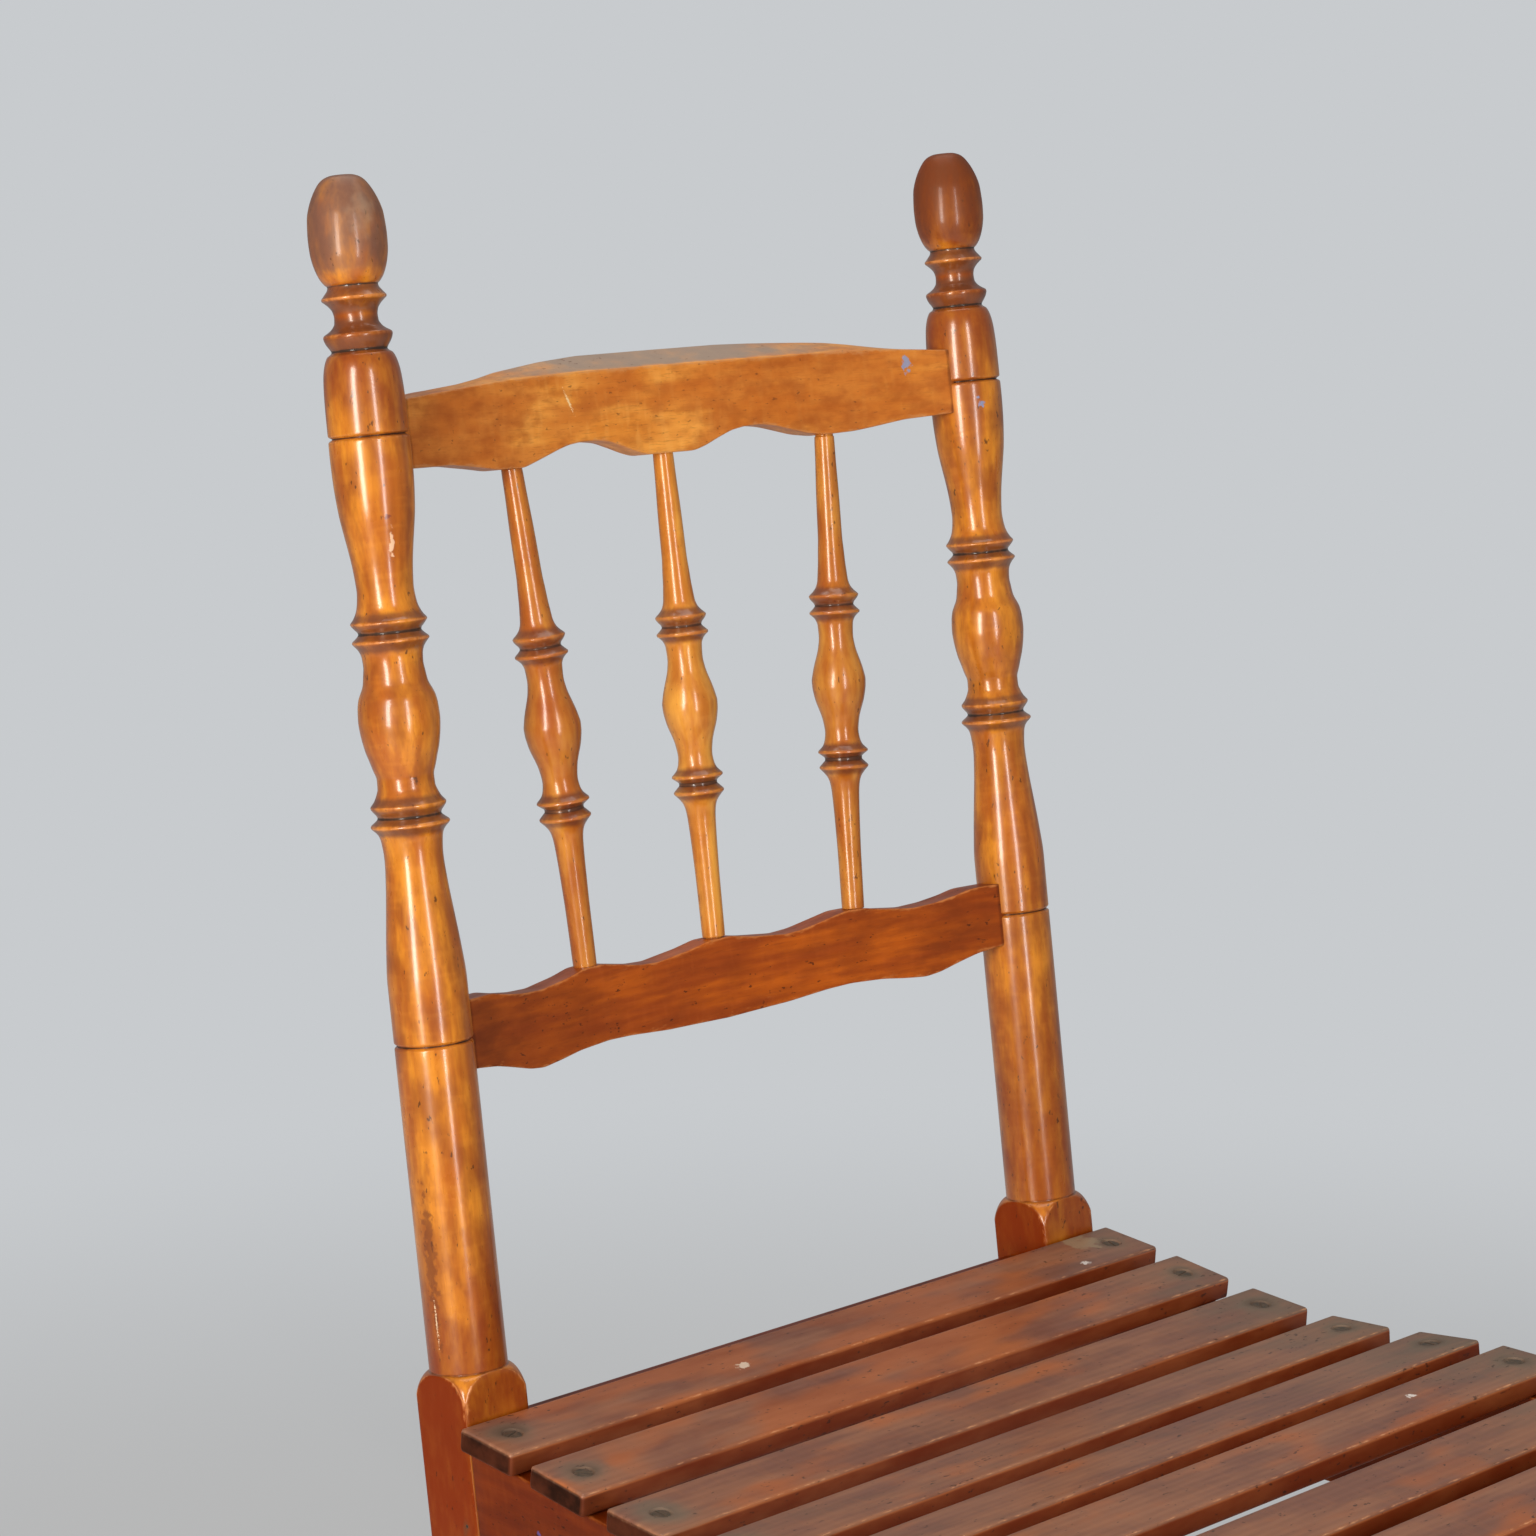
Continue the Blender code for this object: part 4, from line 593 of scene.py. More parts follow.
frontLeg = {
    "rings": 300,
    "middleY": shoulderY - 389.158 * mm,
    "blockBottomZ": 339.0 * mm,
    "topZ": 428.6 * mm,
    "footTone": 0.3,  # darker towards the floor, up to this height
    "footReach": 150,
    "frontStain": 0.30,  # tone of the block's front and back, and how much darker its other faces are painted as shade
    "sidePaintedShade": 0.55,
    # Heights above the floor and radii, in millimetres, from the foot up
    "turning": (
        (0, 0), (0, 9), (0.25, 11), (1.2, 11.8), (14, 11.1), (27.5, 10.6), (28.9, 10.9), (30.6, 13.2),
        (33.6, 15.1), (36.8, 14), (40, 11.4), (42.4, 10.8), (52, 11.9), (66, 14), (82, 16.4), (98, 17.7),
        (110.2, 18), (113.8, 18), (114.6, 17.7), (115.6, 16.6), (116.6, 17.7), (117.4, 18), (119.3, 18),
        (150, 18.1), (166, 17.8), (178, 16.6), (188, 14.6), (194.6, 13.6), (196.6, 13.9), (198.2, 15.8),
        (200, 17.2), (201.8, 16.3), (203.2, 14.7), (204.2, 14.9), (205.4, 16.6), (207, 17.2), (208.8, 16),
        (210.2, 14), (213.5, 13.8), (218, 15.4), (223.7, 17.9), (236, 18.3), (249.2, 17.9), (256, 16.6),
        (262, 14.6), (266.5, 13.8), (268.4, 15.2), (270.2, 17.2), (272.2, 15.8), (273.9, 14.5),
        (275.6, 16.3), (277.4, 17.2), (279.4, 15.2), (281.4, 13.1), (288, 14.2), (300, 16.7), (311.9, 17.9),
        (315.6, 17.9), (316.4, 17.6), (317.3, 16.6), (318.2, 17.6), (319, 18), (328, 18), (338.2, 18),
        (338.9, 17.7),
    ),
    "waxed": ((33.6, 5.0), (203.6, 8.0), (273.8, 8.0)),
}


def buildFrontLegs():
    # Upright sticks, turned from the foot up, with a square block for the seat rails
    line = turnedLine(frontLeg["turning"], frontLeg["rings"], frontLeg["waxed"])
    base, top = frontLeg["blockBottomZ"], frontLeg["topZ"]
    z = np.concatenate([
        line[0], base + domeRise * mm, np.linspace(base + 26 * mm, top - 1.2 * mm, 10), top - endRise])
    half = np.full(len(z), chair["halfSquare"])
    half[-4:] -= endInset
    for side, word in sides:
        rings, sideways, depth, arris, wear, grime, squared = stickRings(
            side, line, 0 * z + frontLeg["middleY"], z, 0 * z, half, half)
        faces, onSide = facesOf(sideways, depth, z[:, None] < base + 12 * mm)
        foot = frontLeg["footTone"] * np.clip(1 - z / (frontLeg["footReach"] * mm), 0, 1)[:, None]
        # Stain on all faces, and painted shade on the outer and inner ones
        tone = foot + faces * squared * (frontLeg["frontStain"] + frontLeg["sidePaintedShade"] * onSide)
        grain = stacked(sideways + 0.4 + 0.3 * (side > 0), depth + 0.027, z[:, None] + 0.31)
        marks = marksOf(np.maximum(0.55 * arris, wear), grime, tone)
        closedSkin(f"{word}_front_leg", [(rings, grain, marks)], f"front_leg_{word}", "post_wood", honeyPosts)


buildFrontLegs()
print("front legs made")


def easedSections(corners, radius, fill):
    # Sections with four corners (station, corner, 2). Each corner becomes a quadratic curve between two
    # points set back by the radius, and each side gets places near its arrises and an even fill between
    # them. Gives the points and each place's distance from the nearest arris
    points, distances = [], []
    lengths = np.linalg.norm(np.roll(corners, -1, axis=1) - corners, axis=2)
    radius = np.minimum(radius, 0.42 * lengths.min(axis=1, keepdims=True))
    share = np.linspace(0, 1, 5)[None, :, None]
    fromMiddle = np.abs(share[..., 0] - 0.5) * 1.6
    for corner in range(4):
        here = corners[:, corner]
        toLast, toNext = corners[:, corner - 1] - here, corners[:, (corner + 1) % 4] - here
        lastLength, nextLength = (np.linalg.norm(way, axis=1, keepdims=True) for way in (toLast, toNext))
        start, end = ((here + way * radius)[:, None] for way in (toLast / lastLength, toNext / nextLength))
        points.append((1 - share) ** 2 * start + 2 * share * (1 - share) * here[:, None] + share**2 * end)
        distances.append(fromMiddle * radius)
        free = nextLength - 2 * radius
        close, near = np.minimum(0.6 * mm, 0.1 * free), np.minimum(2.2 * mm, 0.3 * free)
        between = near + (free - 2 * near) * np.linspace(0, 1, fill[corner] + 2)
        places = np.concatenate([close, between, free - close], axis=1)
        points.append(end + places[:, :, None] * (toNext / nextLength)[:, None])
        distances.append(np.minimum(places, free - places) + 0.8 * radius)
    return np.concatenate(points, axis=1), np.concatenate(distances, axis=1)


def endEasing(positions, radius):
    # Stations along a board with its ends eased: for each end a quarter circle of (place, inset) and a flat
    # end
    angle = np.radians([20, 45, 70, 90])
    out = np.concatenate([[radius], radius * (1 - np.sin(angle)), [0, 0]])
    inset = np.concatenate([[0], radius * (1 - np.cos(angle)), [radius + 0.8 * mm, radius + 2.5 * mm]])
    first, last = positions[0], positions[-1]
    inner = positions[(positions > first + radius) & (positions < last - radius)]
    return (np.concatenate([first + out[::-1], inner, last - out]),
            np.concatenate([inset[::-1], 0 * inner, inset]))


def insetCorners(low, high, shrink):
    # Four corners (station, 4, 2) from the low and the high one, drawn in by the inset. The first side may
    # have a top of its own, as a third number of the high corner
    a, b, c = low[0] + shrink, low[1] + shrink, high[0] - shrink
    pairs = ((a, b), (c, b), (c, high[1] - shrink), (a, high[-1] - shrink))
    return np.stack([stacked(*pair) for pair in pairs], axis=1)


# Bowed rails of the back, with their edges as places from the middle and heights above the shoulder along
# the posts
backRails = {
    "halfSpan": 172.5, "bow": 21.0, "thickness": 14.0, "tenon": 14.5, "arris": 0.9, "endArris": 0.8,
    "stations": 260, "rubbed": 1.3,  # how far the wear reaches from an arris
    "crestBackTop": (
        (-190, 444), (-172, 444.3), (-158, 446.3), (-148, 446.9), (-125, 448.7), (-112, 450.5),
        (-100, 452.8), (-70, 456.2), (-45, 457.9), (0, 458.1), (45, 458.1), (65, 457.4), (84, 456.4),
        (100, 455.4), (112, 454.4), (125, 452.6), (139, 450.2), (152, 448.2), (165, 446.4), (190, 445)),
    "crestFrontTop": (
        (-190, 443.4), (-172, 443.6), (-140, 446), (-115, 447.6), (-100, 448.4), (-60, 449.3), (0, 449.4),
        (60, 449.3), (100, 448.9), (125, 448.4), (152, 446.9), (172, 445.2), (190, 445)),
    "crestBottom": (
        (-190, 412), (-171, 412.2), (-145, 411.9), (-125, 409.3), (-114, 407.6), (-97, 407.4), (-86, 410.4),
        (-73, 414.2), (-66, 415.9), (-58, 416.7), (-48, 416.7), (-39, 415.6), (-30, 412.6), (-22, 409.6),
        (-15, 407.6), (15, 407.4), (22, 409.2), (30, 412.2), (39, 415.3), (48, 416.7), (58, 416.7),
        (66, 415.6), (73, 413.8), (86, 410.2), (97, 408.6), (114, 408.9), (125, 409.9), (145, 412.2),
        (171, 412.9), (190, 412.9)),
    "lowerTop": mirrored((
        (0, 170.3), (7, 170.3), (20, 168), (42, 165.6), (54, 166.3), (66, 168.4), (80, 171), (92, 170.9),
        (103, 168.6), (122, 166.3), (135, 166.9), (147, 168.6), (157, 170.8), (190, 171))),
    "lowerBottom": mirrored((
        (0, 131), (40, 132.1), (65, 134), (80, 134.5), (100, 133.4), (113, 131.6), (126, 130.3), (135, 131.4),
        (147, 134.6), (158, 137.2), (172, 139), (190, 139))),
}


def bowAt(x):
    # How far back the middle of a bowed rail stands at a place across the chair: a parabola between the posts
    return backRails["bow"] * mm * np.maximum(0, 1 - (x / (backRails["halfSpan"] * mm)) ** 2)


def edgeLine(points, x):
    # A sawn edge: straight between its places, with the corners rounded over about 3 mm. It is first
    # followed in steps of a quarter of a millimetre
    fine = np.linspace(-195, 195, 1561)
    return np.interp(x / mm, fine, blurred(np.interp(fine, *np.array(points, float).T), 7)) * mm


def buildBackRail(name, node, edges, material, grainAt, marksAt):
    # Sections of a bowed board between its sawn edges (back top, front top, bottom), set up in the back's
    # own axes
    half, thick = (backRails["halfSpan"] + backRails["tenon"]) * mm, backRails["thickness"] / 2 * mm
    x, shrink = endEasing(np.linspace(-half, half, backRails["stations"]), backRails["endArris"] * mm)
    bow = bowAt(x)
    backTop, frontTop, bottom = (edgeLine(backRails[edge], x) for edge in edges)
    corners = insetCorners((bow - thick, bottom), (bow + thick, backTop, frontTop), shrink)
    section, distance = easedSections(corners, backRails["arris"] * mm, (1, 7, 3, 7))
    across, depth, along = x[:, None], section[..., 0], section[..., 1]
    inRail = depth - bow[:, None]
    inJoint = np.clip((np.abs(across) - 171 * mm) / (1.5 * mm), 0, 1)
    wearLeft, tone = marksAt(across, inRail, along)
    marks = marksOf(wearLeft * np.exp(-distance / (backRails["rubbed"] * mm)), 0.5 * inJoint, tone)
    closedSkin(name, [(leaning(across, depth, along), stacked(inRail, along, across) + grainAt, marks)], node,
               "back_wood", material)


def crestMarks(across, depth, along):
    # Rubbed grey along the bevelled top, where no wear is left to show, the grey partly a painted sheen of
    # the light from above; browner at the right and beside the left post
    top = np.clip((along - 446 * mm) / (4 * mm), 0, 1) * np.clip(1.5 - np.abs(across) / (100 * mm), 0, 1)
    # The grey of the bevel is rubbed varnish and painted sheen
    greyTopAndSheen = top * np.clip((depth + 6.6 * mm) / (1.2 * mm), 0, 1)
    rightTone = 0.40 * np.clip((across - 5 * mm) / (60 * mm), 0, 1)
    leftTone = 0.45 * np.clip((-across - 45 * mm) / (100 * mm), 0, 1)
    return 1 - greyTopAndSheen, np.where(greyTopAndSheen > 0, -0.95 * greyTopAndSheen, rightTone + leftTone)


def lowerMarks(across, depth, along):
    # Darker towards the posts, sooner at the right
    leftTone = 0.42 * np.clip((-across - 60 * mm) / (110 * mm), 0, 1)
    rightTone = 0.42 * np.clip((across - 60 * mm) / (80 * mm), 0, 1)
    return 1, leftTone + rightTone


buildBackRail("shaped_crest_rail", "crest_rail", ("crestBackTop", "crestFrontTop", "crestBottom"),
              yellowCrest, (0.06, -0.02, 0.11), crestMarks)
buildBackRail("shaped_lower_rail", "lower_back_rail", ("lowerTop", "lowerTop", "lowerBottom"),
              redLowerRail, (0.05, 0.33, 0.57), lowerMarks)
print("back rails made")


def turnedBetween(name, node, finish, start, end, line, around, grainAt, tone=0.0, bow=0.0):
    # A turning's line carried round the line between two points: heights are measured from the start, and
    # the middle of the line is bowed to the right
    height, radius, wear, grime = (values[:, None] for values in line)
    length = np.linalg.norm(end - start)
    axis = (end - start) / length
    aside = np.cross(axis, (0, 1, 0) if abs(axis[1]) < 0.9 else (1, 0, 0))
    aside /= np.linalg.norm(aside)
    angle = np.linspace(0, 2 * np.pi, around, endpoint=False)
    a, b = radius * np.cos(angle), radius * np.sin(angle)
    share = np.clip(height / length, 0, 1)
    centre = start + height * axis + 4 * bow * share * (1 - share) * np.array([1.0, 0, 0])
    rings = centre[:, None] + a[..., None] * aside + b[..., None] * np.cross(axis, aside)
    grain = stacked(a + grainAt[0], b + grainAt[1], height + grainAt[2])
    closedSkin(name, [(rings, grain, marksOf(wear + 0 * a, grime, tone))], node, *finish)


spindle = {
    "rings": 260, "around": 56, "low": 171.0, "top": 407.5,
    # For each: its places across the lower rail and the crest, how far it has bowed to the right, and its
    # tone
    "places": {
        "left": (-85.4, -100.0, 1.6, 0.42), "centre": (1.4, 0.0, 0.4, 0.0),
        "right": (90.9, 101.2, -0.3, 0.32)},
    # Heights above the shoulder and radii, in millimetres, from the lower tenon up
    "turning": (
        (159.5, 0), (159.5, 3), (160.2, 4.4), (170.6, 4.5), (171, 5.6), (185, 5.75), (200, 5.9), (212, 6.2),
        (219, 6.4), (226, 6.7), (231, 7), (234.5, 7.5), (237.2, 8.4), (239.4, 9.9), (241.2, 11.5),
        (242, 12.2), (242.6, 12.3), (243.3, 11.8), (244.8, 10.4), (246.2, 9.3), (247, 9.3), (248.2, 10.3),
        (249.4, 11.9), (250, 12.5), (250.6, 12.4), (251.8, 11.3), (253.6, 9.8), (256.5, 8.8), (260, 8.4),
        (266.5, 9.2), (269.5, 10), (272.5, 11), (275.5, 12), (279, 12.8), (283, 13.4), (286, 13.5),
        (289, 13), (292.5, 12.2), (296.5, 11), (300, 9.9), (303, 9.2), (308, 8.6), (314, 8.9), (316.8, 9.9),
        (318.6, 11.5), (319.5, 12.5), (320.2, 12.6), (320.9, 12), (322.4, 10.5), (323.6, 9.7), (324.6, 10),
        (326.2, 11.3), (327.6, 12.2), (328.4, 12.4), (329, 12), (330.6, 10.3), (333, 8.6), (336, 7.7),
        (340, 7.3), (344, 6.9), (351, 6.5), (357, 6.1), (370, 5.9), (380, 5.7), (395, 5.2), (407.5, 4.9),
        (407.9, 4.5), (418.3, 4.4), (419, 3), (419, 0),
    ),
    "waxed": ((246.6, 7.5), (324.2, 8.0)),
}
height, *profile = turnedLine(spindle["turning"], spindle["rings"], spindle["waxed"])
for place, (word, (low, top, bow, tone)) in enumerate(spindle["places"].items()):
    start, end = (
        leaning(x * mm, bowAt(x * mm), spindle[key] * mm) for key, x in (("low", low), ("top", top)))
    stretch = np.linalg.norm(end - start) / ((spindle["top"] - spindle["low"]) * mm)
    turnedBetween(f"{word}_spindle", f"back_spindle_{word}", ("spindle_wood", amberSpindles), start, end,
                  ((height - spindle["low"] * mm) * stretch, *profile), spindle["around"],
                  (0.2 * place - 0.17, 0.02, 0.5 * place - 0.5), tone, bow * mm)
print("spindles made")

stretchers = {
    "around": 48, "tenon": 14.0,
    # Radii along half a stretcher, as shares of the bare half length from the middle to the shoulder, and
    # its beads
    "plain": {"rings": 150, "beads": (), "shares": (
        (0, 11), (0.205, 11), (0.216, 10.7), (0.224, 9.6), (0.232, 10.7), (0.243, 10.9), (0.30, 10.8),
        (0.42, 9.9), (0.58, 8.3), (0.74, 6.9), (0.88, 6.2), (1, 6))},
    "fat": {"rings": 240, "beads": (0.063, 0.676), "shares": (
        (0, 14.4), (0.03, 14), (0.062, 10.4), (0.070, 10.6), (0.084, 13), (0.105, 15), (0.135, 15.9),
        (0.19, 16), (0.245, 15.8), (0.32, 13.9), (0.42, 10.9), (0.51, 9), (0.565, 8.5), (0.612, 9.1),
        (0.628, 11.6), (0.645, 13.4), (0.662, 12.2), (0.676, 10.4), (0.692, 12.2), (0.708, 13.4),
        (0.724, 11.8), (0.742, 9.2),
        (0.80, 8.3), (0.88, 7.2), (1, 6.1))},
    "tenonEnd": ((0.8, 6.0), (0.1, 5.3), (0, 4.2), (0, 0)),  # distances from the end, and radii
}


def nodeEnds(node, axis):
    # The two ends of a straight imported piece: the middle of its box, at the box's ends along one axis
    low, high = boxOf(node)
    start, end = (low + high) / 2, (low + high) / 2
    start[axis], end[axis] = low[axis], high[axis]
    return start, end


def buildStretcher(name, node, axis, kind, grainAt):
    # Half a line of shares mirrored to both ends, with a round tenon past each shoulder
    start, end = nodeEnds(node, axis)
    middle = np.linalg.norm(end - start) / mm / 2
    bare = middle - stretchers["tenon"]
    half = [(share * bare, radius) for share, radius in stretchers[kind]["shares"]]
    half += [(middle - back, radius) for back, radius in stretchers["tenonEnd"]]
    beads = [(middle + sign * share * bare, 9.0) for sign in (-1, 1) for share in stretchers[kind]["beads"]]
    points = [(place + middle, radius) for place, radius in mirrored(half)]
    line = turnedLine(points, stretchers[kind]["rings"], beads or noWax)
    turnedBetween(name, node, ("post_wood", honeyPosts), start, end, line, stretchers["around"], grainAt, 0.1)


for side, word in sides:
    for level, shift in (("upper", 0.0), ("lower", 0.6)):
        buildStretcher(f"{word}_{level}_stretcher", f"side_stretcher_{level}_{word}", 1, "plain",
                       (0.05 + 0.2 * side, 0.03, shift))
buildStretcher("rear_cross_stretcher", "rear_stretcher", 0, "plain", (0.07, 0.03, 1.1))
buildStretcher("front_cross_stretcher", "front_stretcher", 0, "fat", (0.05, 0.13, 1.7))
print("stretchers made")

slat = {
    "length": 430.0, "width": 36.0, "thickness": 11.0, "arris": 1.7, "screwX": 199.25, "wear": 0.66,
    "leftFade": (0.30, 34), "rightFade": (0.62, 70),  # how faded each end is, and how far that reaches
    "stained": (4, 11), "rusted": (3, 7),  # round each screw: from how far out, and over what distance
    "tones": (0.25, 0.22, -0.08, -0.18, -0.22, -0.06, -0.14, -0.10),
}
screw = {
    "headRadius": 4.25, "headDepth": 3.0, "sunk": 0.4, "slotWidth": 1.1, "slotDepth": 1.2, "shankRadius": 2.0,
    "length": 28.0, "threadPitch": 1.8, "threadDepth": 0.55, "threadStart": 10.0,
    "turns": (20, 75, 140, 10, 95, 50, 165, 120, 35, 80, 5, 110, 60, 150, 25, 90),  # each slot's, in degrees
}


def slatPlace(node):
    # A packed slat's top: its largest upward face gives the tilt, and its box the middle
    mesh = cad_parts[node].data
    areas, normals = np.empty(len(mesh.polygons)), np.empty(3 * len(mesh.polygons))
    mesh.polygons.foreach_get("area", areas)
    mesh.polygons.foreach_get("normal", normals)
    normals = normals.reshape(-1, 3)
    normal = normals[np.argmax(np.where(normals[:, 2] > 0.5, areas, 0))]
    return boxOf(node).mean(axis=0) + normal * slat["thickness"] / 2 * mm, normal


slatPlaces = [slatPlace(f"seat_slat_{number}") for number in range(1, 9)]


def onSlat(number, across, back, above):
    # A slat's own axes (across the chair, back over its top, above it) in the row frame
    middle, normal = slatPlaces[number - 1]
    rightward, backward = np.array([1.0, 0, 0]), np.array([0, normal[2], -normal[1]])
    return middle + across[..., None] * rightward + back[..., None] * backward + above[..., None] * normal


def buildSlat(number):
    # Sections of a flat board, closer at the screws, whose top is sunk round each screw's head
    half, halfWidth, arris = slat["length"] / 2, slat["width"] / 2 * mm, slat["arris"] * mm
    nearScrew = np.arange(-7.5, 7.51, 0.5)
    positions = np.unique(np.concatenate([
        nearScrew - slat["screwX"], nearScrew + slat["screwX"], np.linspace(-half, half, 70)])) * mm
    x, shrink = endEasing(positions, arris)
    corners = insetCorners((-halfWidth, -slat["thickness"] * mm), (halfWidth, 0), shrink)
    section, distance = easedSections(corners, arris, (4, 1, 54, 1))
    across, back, above = x[:, None], section[..., 0], section[..., 1]
    fromScrew = np.hypot(np.abs(across) - slat["screwX"] * mm, back)
    fromEnd = half * mm - np.abs(across)
    onTop = above > -1.0 * mm
    sink = np.clip((screw["headRadius"] + 0.75 - fromScrew / mm) / 0.5, 0, 1)
    above = np.where(onTop, above - sink * 0.9 * mm, above)
    wear = np.maximum(np.exp(-distance / (0.5 * mm)), np.exp(-fromEnd / (0.5 * mm)) * (above > -2 * mm))
    wear = slat["wear"] * wear * np.where(above > -3 * mm, 1.0, 0.3)
    # Fading and rust round the screws, and what is faded towards the ends
    stain, rusted = (
        np.exp(-(np.clip(fromScrew - rim * mm, 0, 1) / (reach * mm)) ** 2)
        for rim, reach in (slat["stained"], slat["rusted"]))
    dirtRing = np.exp(-np.clip(fromScrew - 4.4 * mm, 0, 1) / (1.6 * mm))
    fadedLeft, fadedRight = (
        share * np.exp(-(fromEnd / (reach * mm)) ** 2)
        for share, reach in (slat["leftFade"], slat["rightFade"]))
    faded = np.where(across > 0, fadedRight, fadedLeft)
    fading = np.where(onTop, np.maximum(faded, 0.9 * stain), 0)
    # The sides and ends below the top arris are dark, most at the ends and near the left one
    belowTop, underside = (np.clip(-above / mm - depth, 0, 1) for depth in (1.0, 9.5))
    atEnd = np.clip(1 - fromEnd / (0.6 * mm), 0, 1)
    leftEnd = 0.5 * np.exp(-(fromEnd / (28 * mm)) ** 2) * (across < 0)
    onSides = np.maximum(np.maximum(0.15 * underside, 0.86 * atEnd), leftEnd)
    grime = np.where(onTop, np.maximum(0.45 * dirtRing, 0.42 * rusted), onSides)
    onTopTone = slat["tones"][number - 1] * (1 - faded) - fading
    tone = np.where(belowTop > 0, (0.74 + 0.26 * atEnd) * belowTop, onTopTone)
    grain = stacked(back + 0.05 * number, above + 0.03, across + 0.37 * number)
    across = across + 0 * back
    closedSkin(f"slat_{number}", [(onSlat(number, across, back, above), grain, marksOf(wear, grime, tone))],
               f"seat_slat_{number}", "slat_wood", mauveSlats)


for number in range(1, 9):
    buildSlat(number)
print("slats made")


def buildScrews():
    # Head: rows across the slot, each a closed loop over the top and back under the countersink
    radius, halfSlot, length = screw["headRadius"], screw["slotWidth"] / 2, screw["length"]
    outer = np.sin(np.linspace(0, np.pi / 2, 15)[1:-1]) * (radius - halfSlot - 0.12) + halfSlot + 0.12
    half = np.array([0.0, halfSlot - 0.02, halfSlot, halfSlot + 0.1, *outer, radius - 0.02])
    rows = np.concatenate([-half[:0:-1], half])[:, None]
    inSlot = np.abs(rows) < halfSlot
    a = np.sqrt(radius**2 - rows**2) * np.sin(np.linspace(-np.pi / 2, np.pi / 2, 25))
    b, none = rows + 0 * a, 0 * a
    rim = np.hypot(a, b) / radius
    top = -0.35 * np.clip((rim - 0.82) / 0.18, 0, 1) ** 2 - 0.12 * rim**2
    top = np.where(inSlot, -screw["slotDepth"], top)
    under = -0.5 - (screw["headDepth"] - 0.5) * (1 - rim)
    head = [np.concatenate(pair, axis=1) for pair in (
        (a, a[:, ::-1]), (b, b), (top, under[:, ::-1]), (np.clip((rim - 0.7) / 0.3, 0, 1), none),
        (0.9 * inSlot + none, none))]
    # Shank: a turning whose radius also follows the thread's helix
    depth = np.linspace(-1.5, -length, 110)[:, None]
    shank = screw["shankRadius"] * np.clip((length + depth) / 6.0, 0.12, 1) ** 0.8
    angle = np.linspace(0, 2 * np.pi, 20, endpoint=False)
    phase = (depth / screw["threadPitch"] + angle / (2 * np.pi)) % 1
    ridge = np.maximum(0, 1 - np.abs(phase - 0.5) * 5) * np.clip((-depth - screw["threadStart"]) / 2, 0, 1)
    reach = np.minimum(shank * 0.86 + ridge * screw["threadDepth"] * (shank / 2), screw["shankRadius"] + 0.2)
    thread = (reach * np.cos(angle), reach * np.sin(angle), depth + 0 * reach, 0.3 * (ridge > 0.5), 0.0)
    for number in range(1, 9):
        for side, word in sides:
            turn = np.radians(screw["turns"][2 * number - 2 + (side > 0)])
            shells = []
            for p, q, z, wear, grime in (head, thread):
                across = (p * np.cos(turn) - q * np.sin(turn) + side * slat["screwX"]) * mm
                back = (p * np.sin(turn) + q * np.cos(turn)) * mm
                points = onSlat(number, across, back, (z - screw["sunk"]) * mm)
                grain = stacked(p * mm + (0.01 * number + 0.003 * side), q * mm, z * mm)
                shells.append((points, grain, marksOf(wear, grime, 0.0)))
            closedSkin(f"screw_{number}_{word}", shells, f"slat_screw_{number}_{word}", "screw_iron",
                       blackIron)


buildScrews()
print("screws made")

seatRail = {
    "thickness": 19.5, "arris": 1.1, "bottomZ": 355.0, "tenonThickness": 9.0, "tenonLength": 20.0,
    "tenonShoulder": 8.0, "tenonArris": 0.6, "tenonTop": 60.0, "gap": 0.3,
    "crossHeight": 56.0, "crossThickness": 18.0, "crossTenon": 15.0, "rearTop": -24.4,
}
# (y, z) of each slat's rear and front lower edges, where the side rails meet them
undersides = np.vstack([
    onSlat(number, np.zeros(2), np.array([18, -18]) * mm, np.full(2, -11.3 * mm))[:, 1:]
    for number in range(1, 9)])


def boardShell(low, high, axis, arris, grainAt, tone, count=40, fill=(3, 3, 3, 3), slope=0.0, topLine=None):
    # A straight board between two corners along one axis, with eased arrises and ends. Its far end may
    # slope by a share of the height, and its top may follow a line of (place, height)
    first, second = (other for other in range(3) if other != axis)
    positions = np.linspace(low[axis], high[axis], count)
    top = high[second]
    if topLine is not None:
        positions = np.unique(np.concatenate([positions, topLine[:, 0]]))
        positions = positions[(positions >= low[axis]) & (positions <= high[axis])]
    place, shrink = endEasing(positions, arris)
    if topLine is not None:
        top = np.interp(place, *topLine[np.argsort(topLine[:, 0])].T)
    corners = insetCorners((low[first], low[second]), (high[first], top), shrink)
    section, distance = easedSections(corners, arris, fill)
    place, a, b = place[:, None], section[..., 0], section[..., 1]
    share = (place - low[axis]) / (high[axis] - low[axis])
    points = np.empty((*distance.shape, 3))
    points[..., first], points[..., second] = a, b
    points[..., axis] = place + slope * share * (b - low[second])
    fromEnd = np.minimum(place - low[axis], high[axis] - place)
    marks = marksOf(0.8 * np.exp(-distance / (1.1 * mm)), 0.5 * np.exp(-fromEnd / (1.5 * mm)), tone)
    return points, stacked(a, b, place) + grainAt, marks


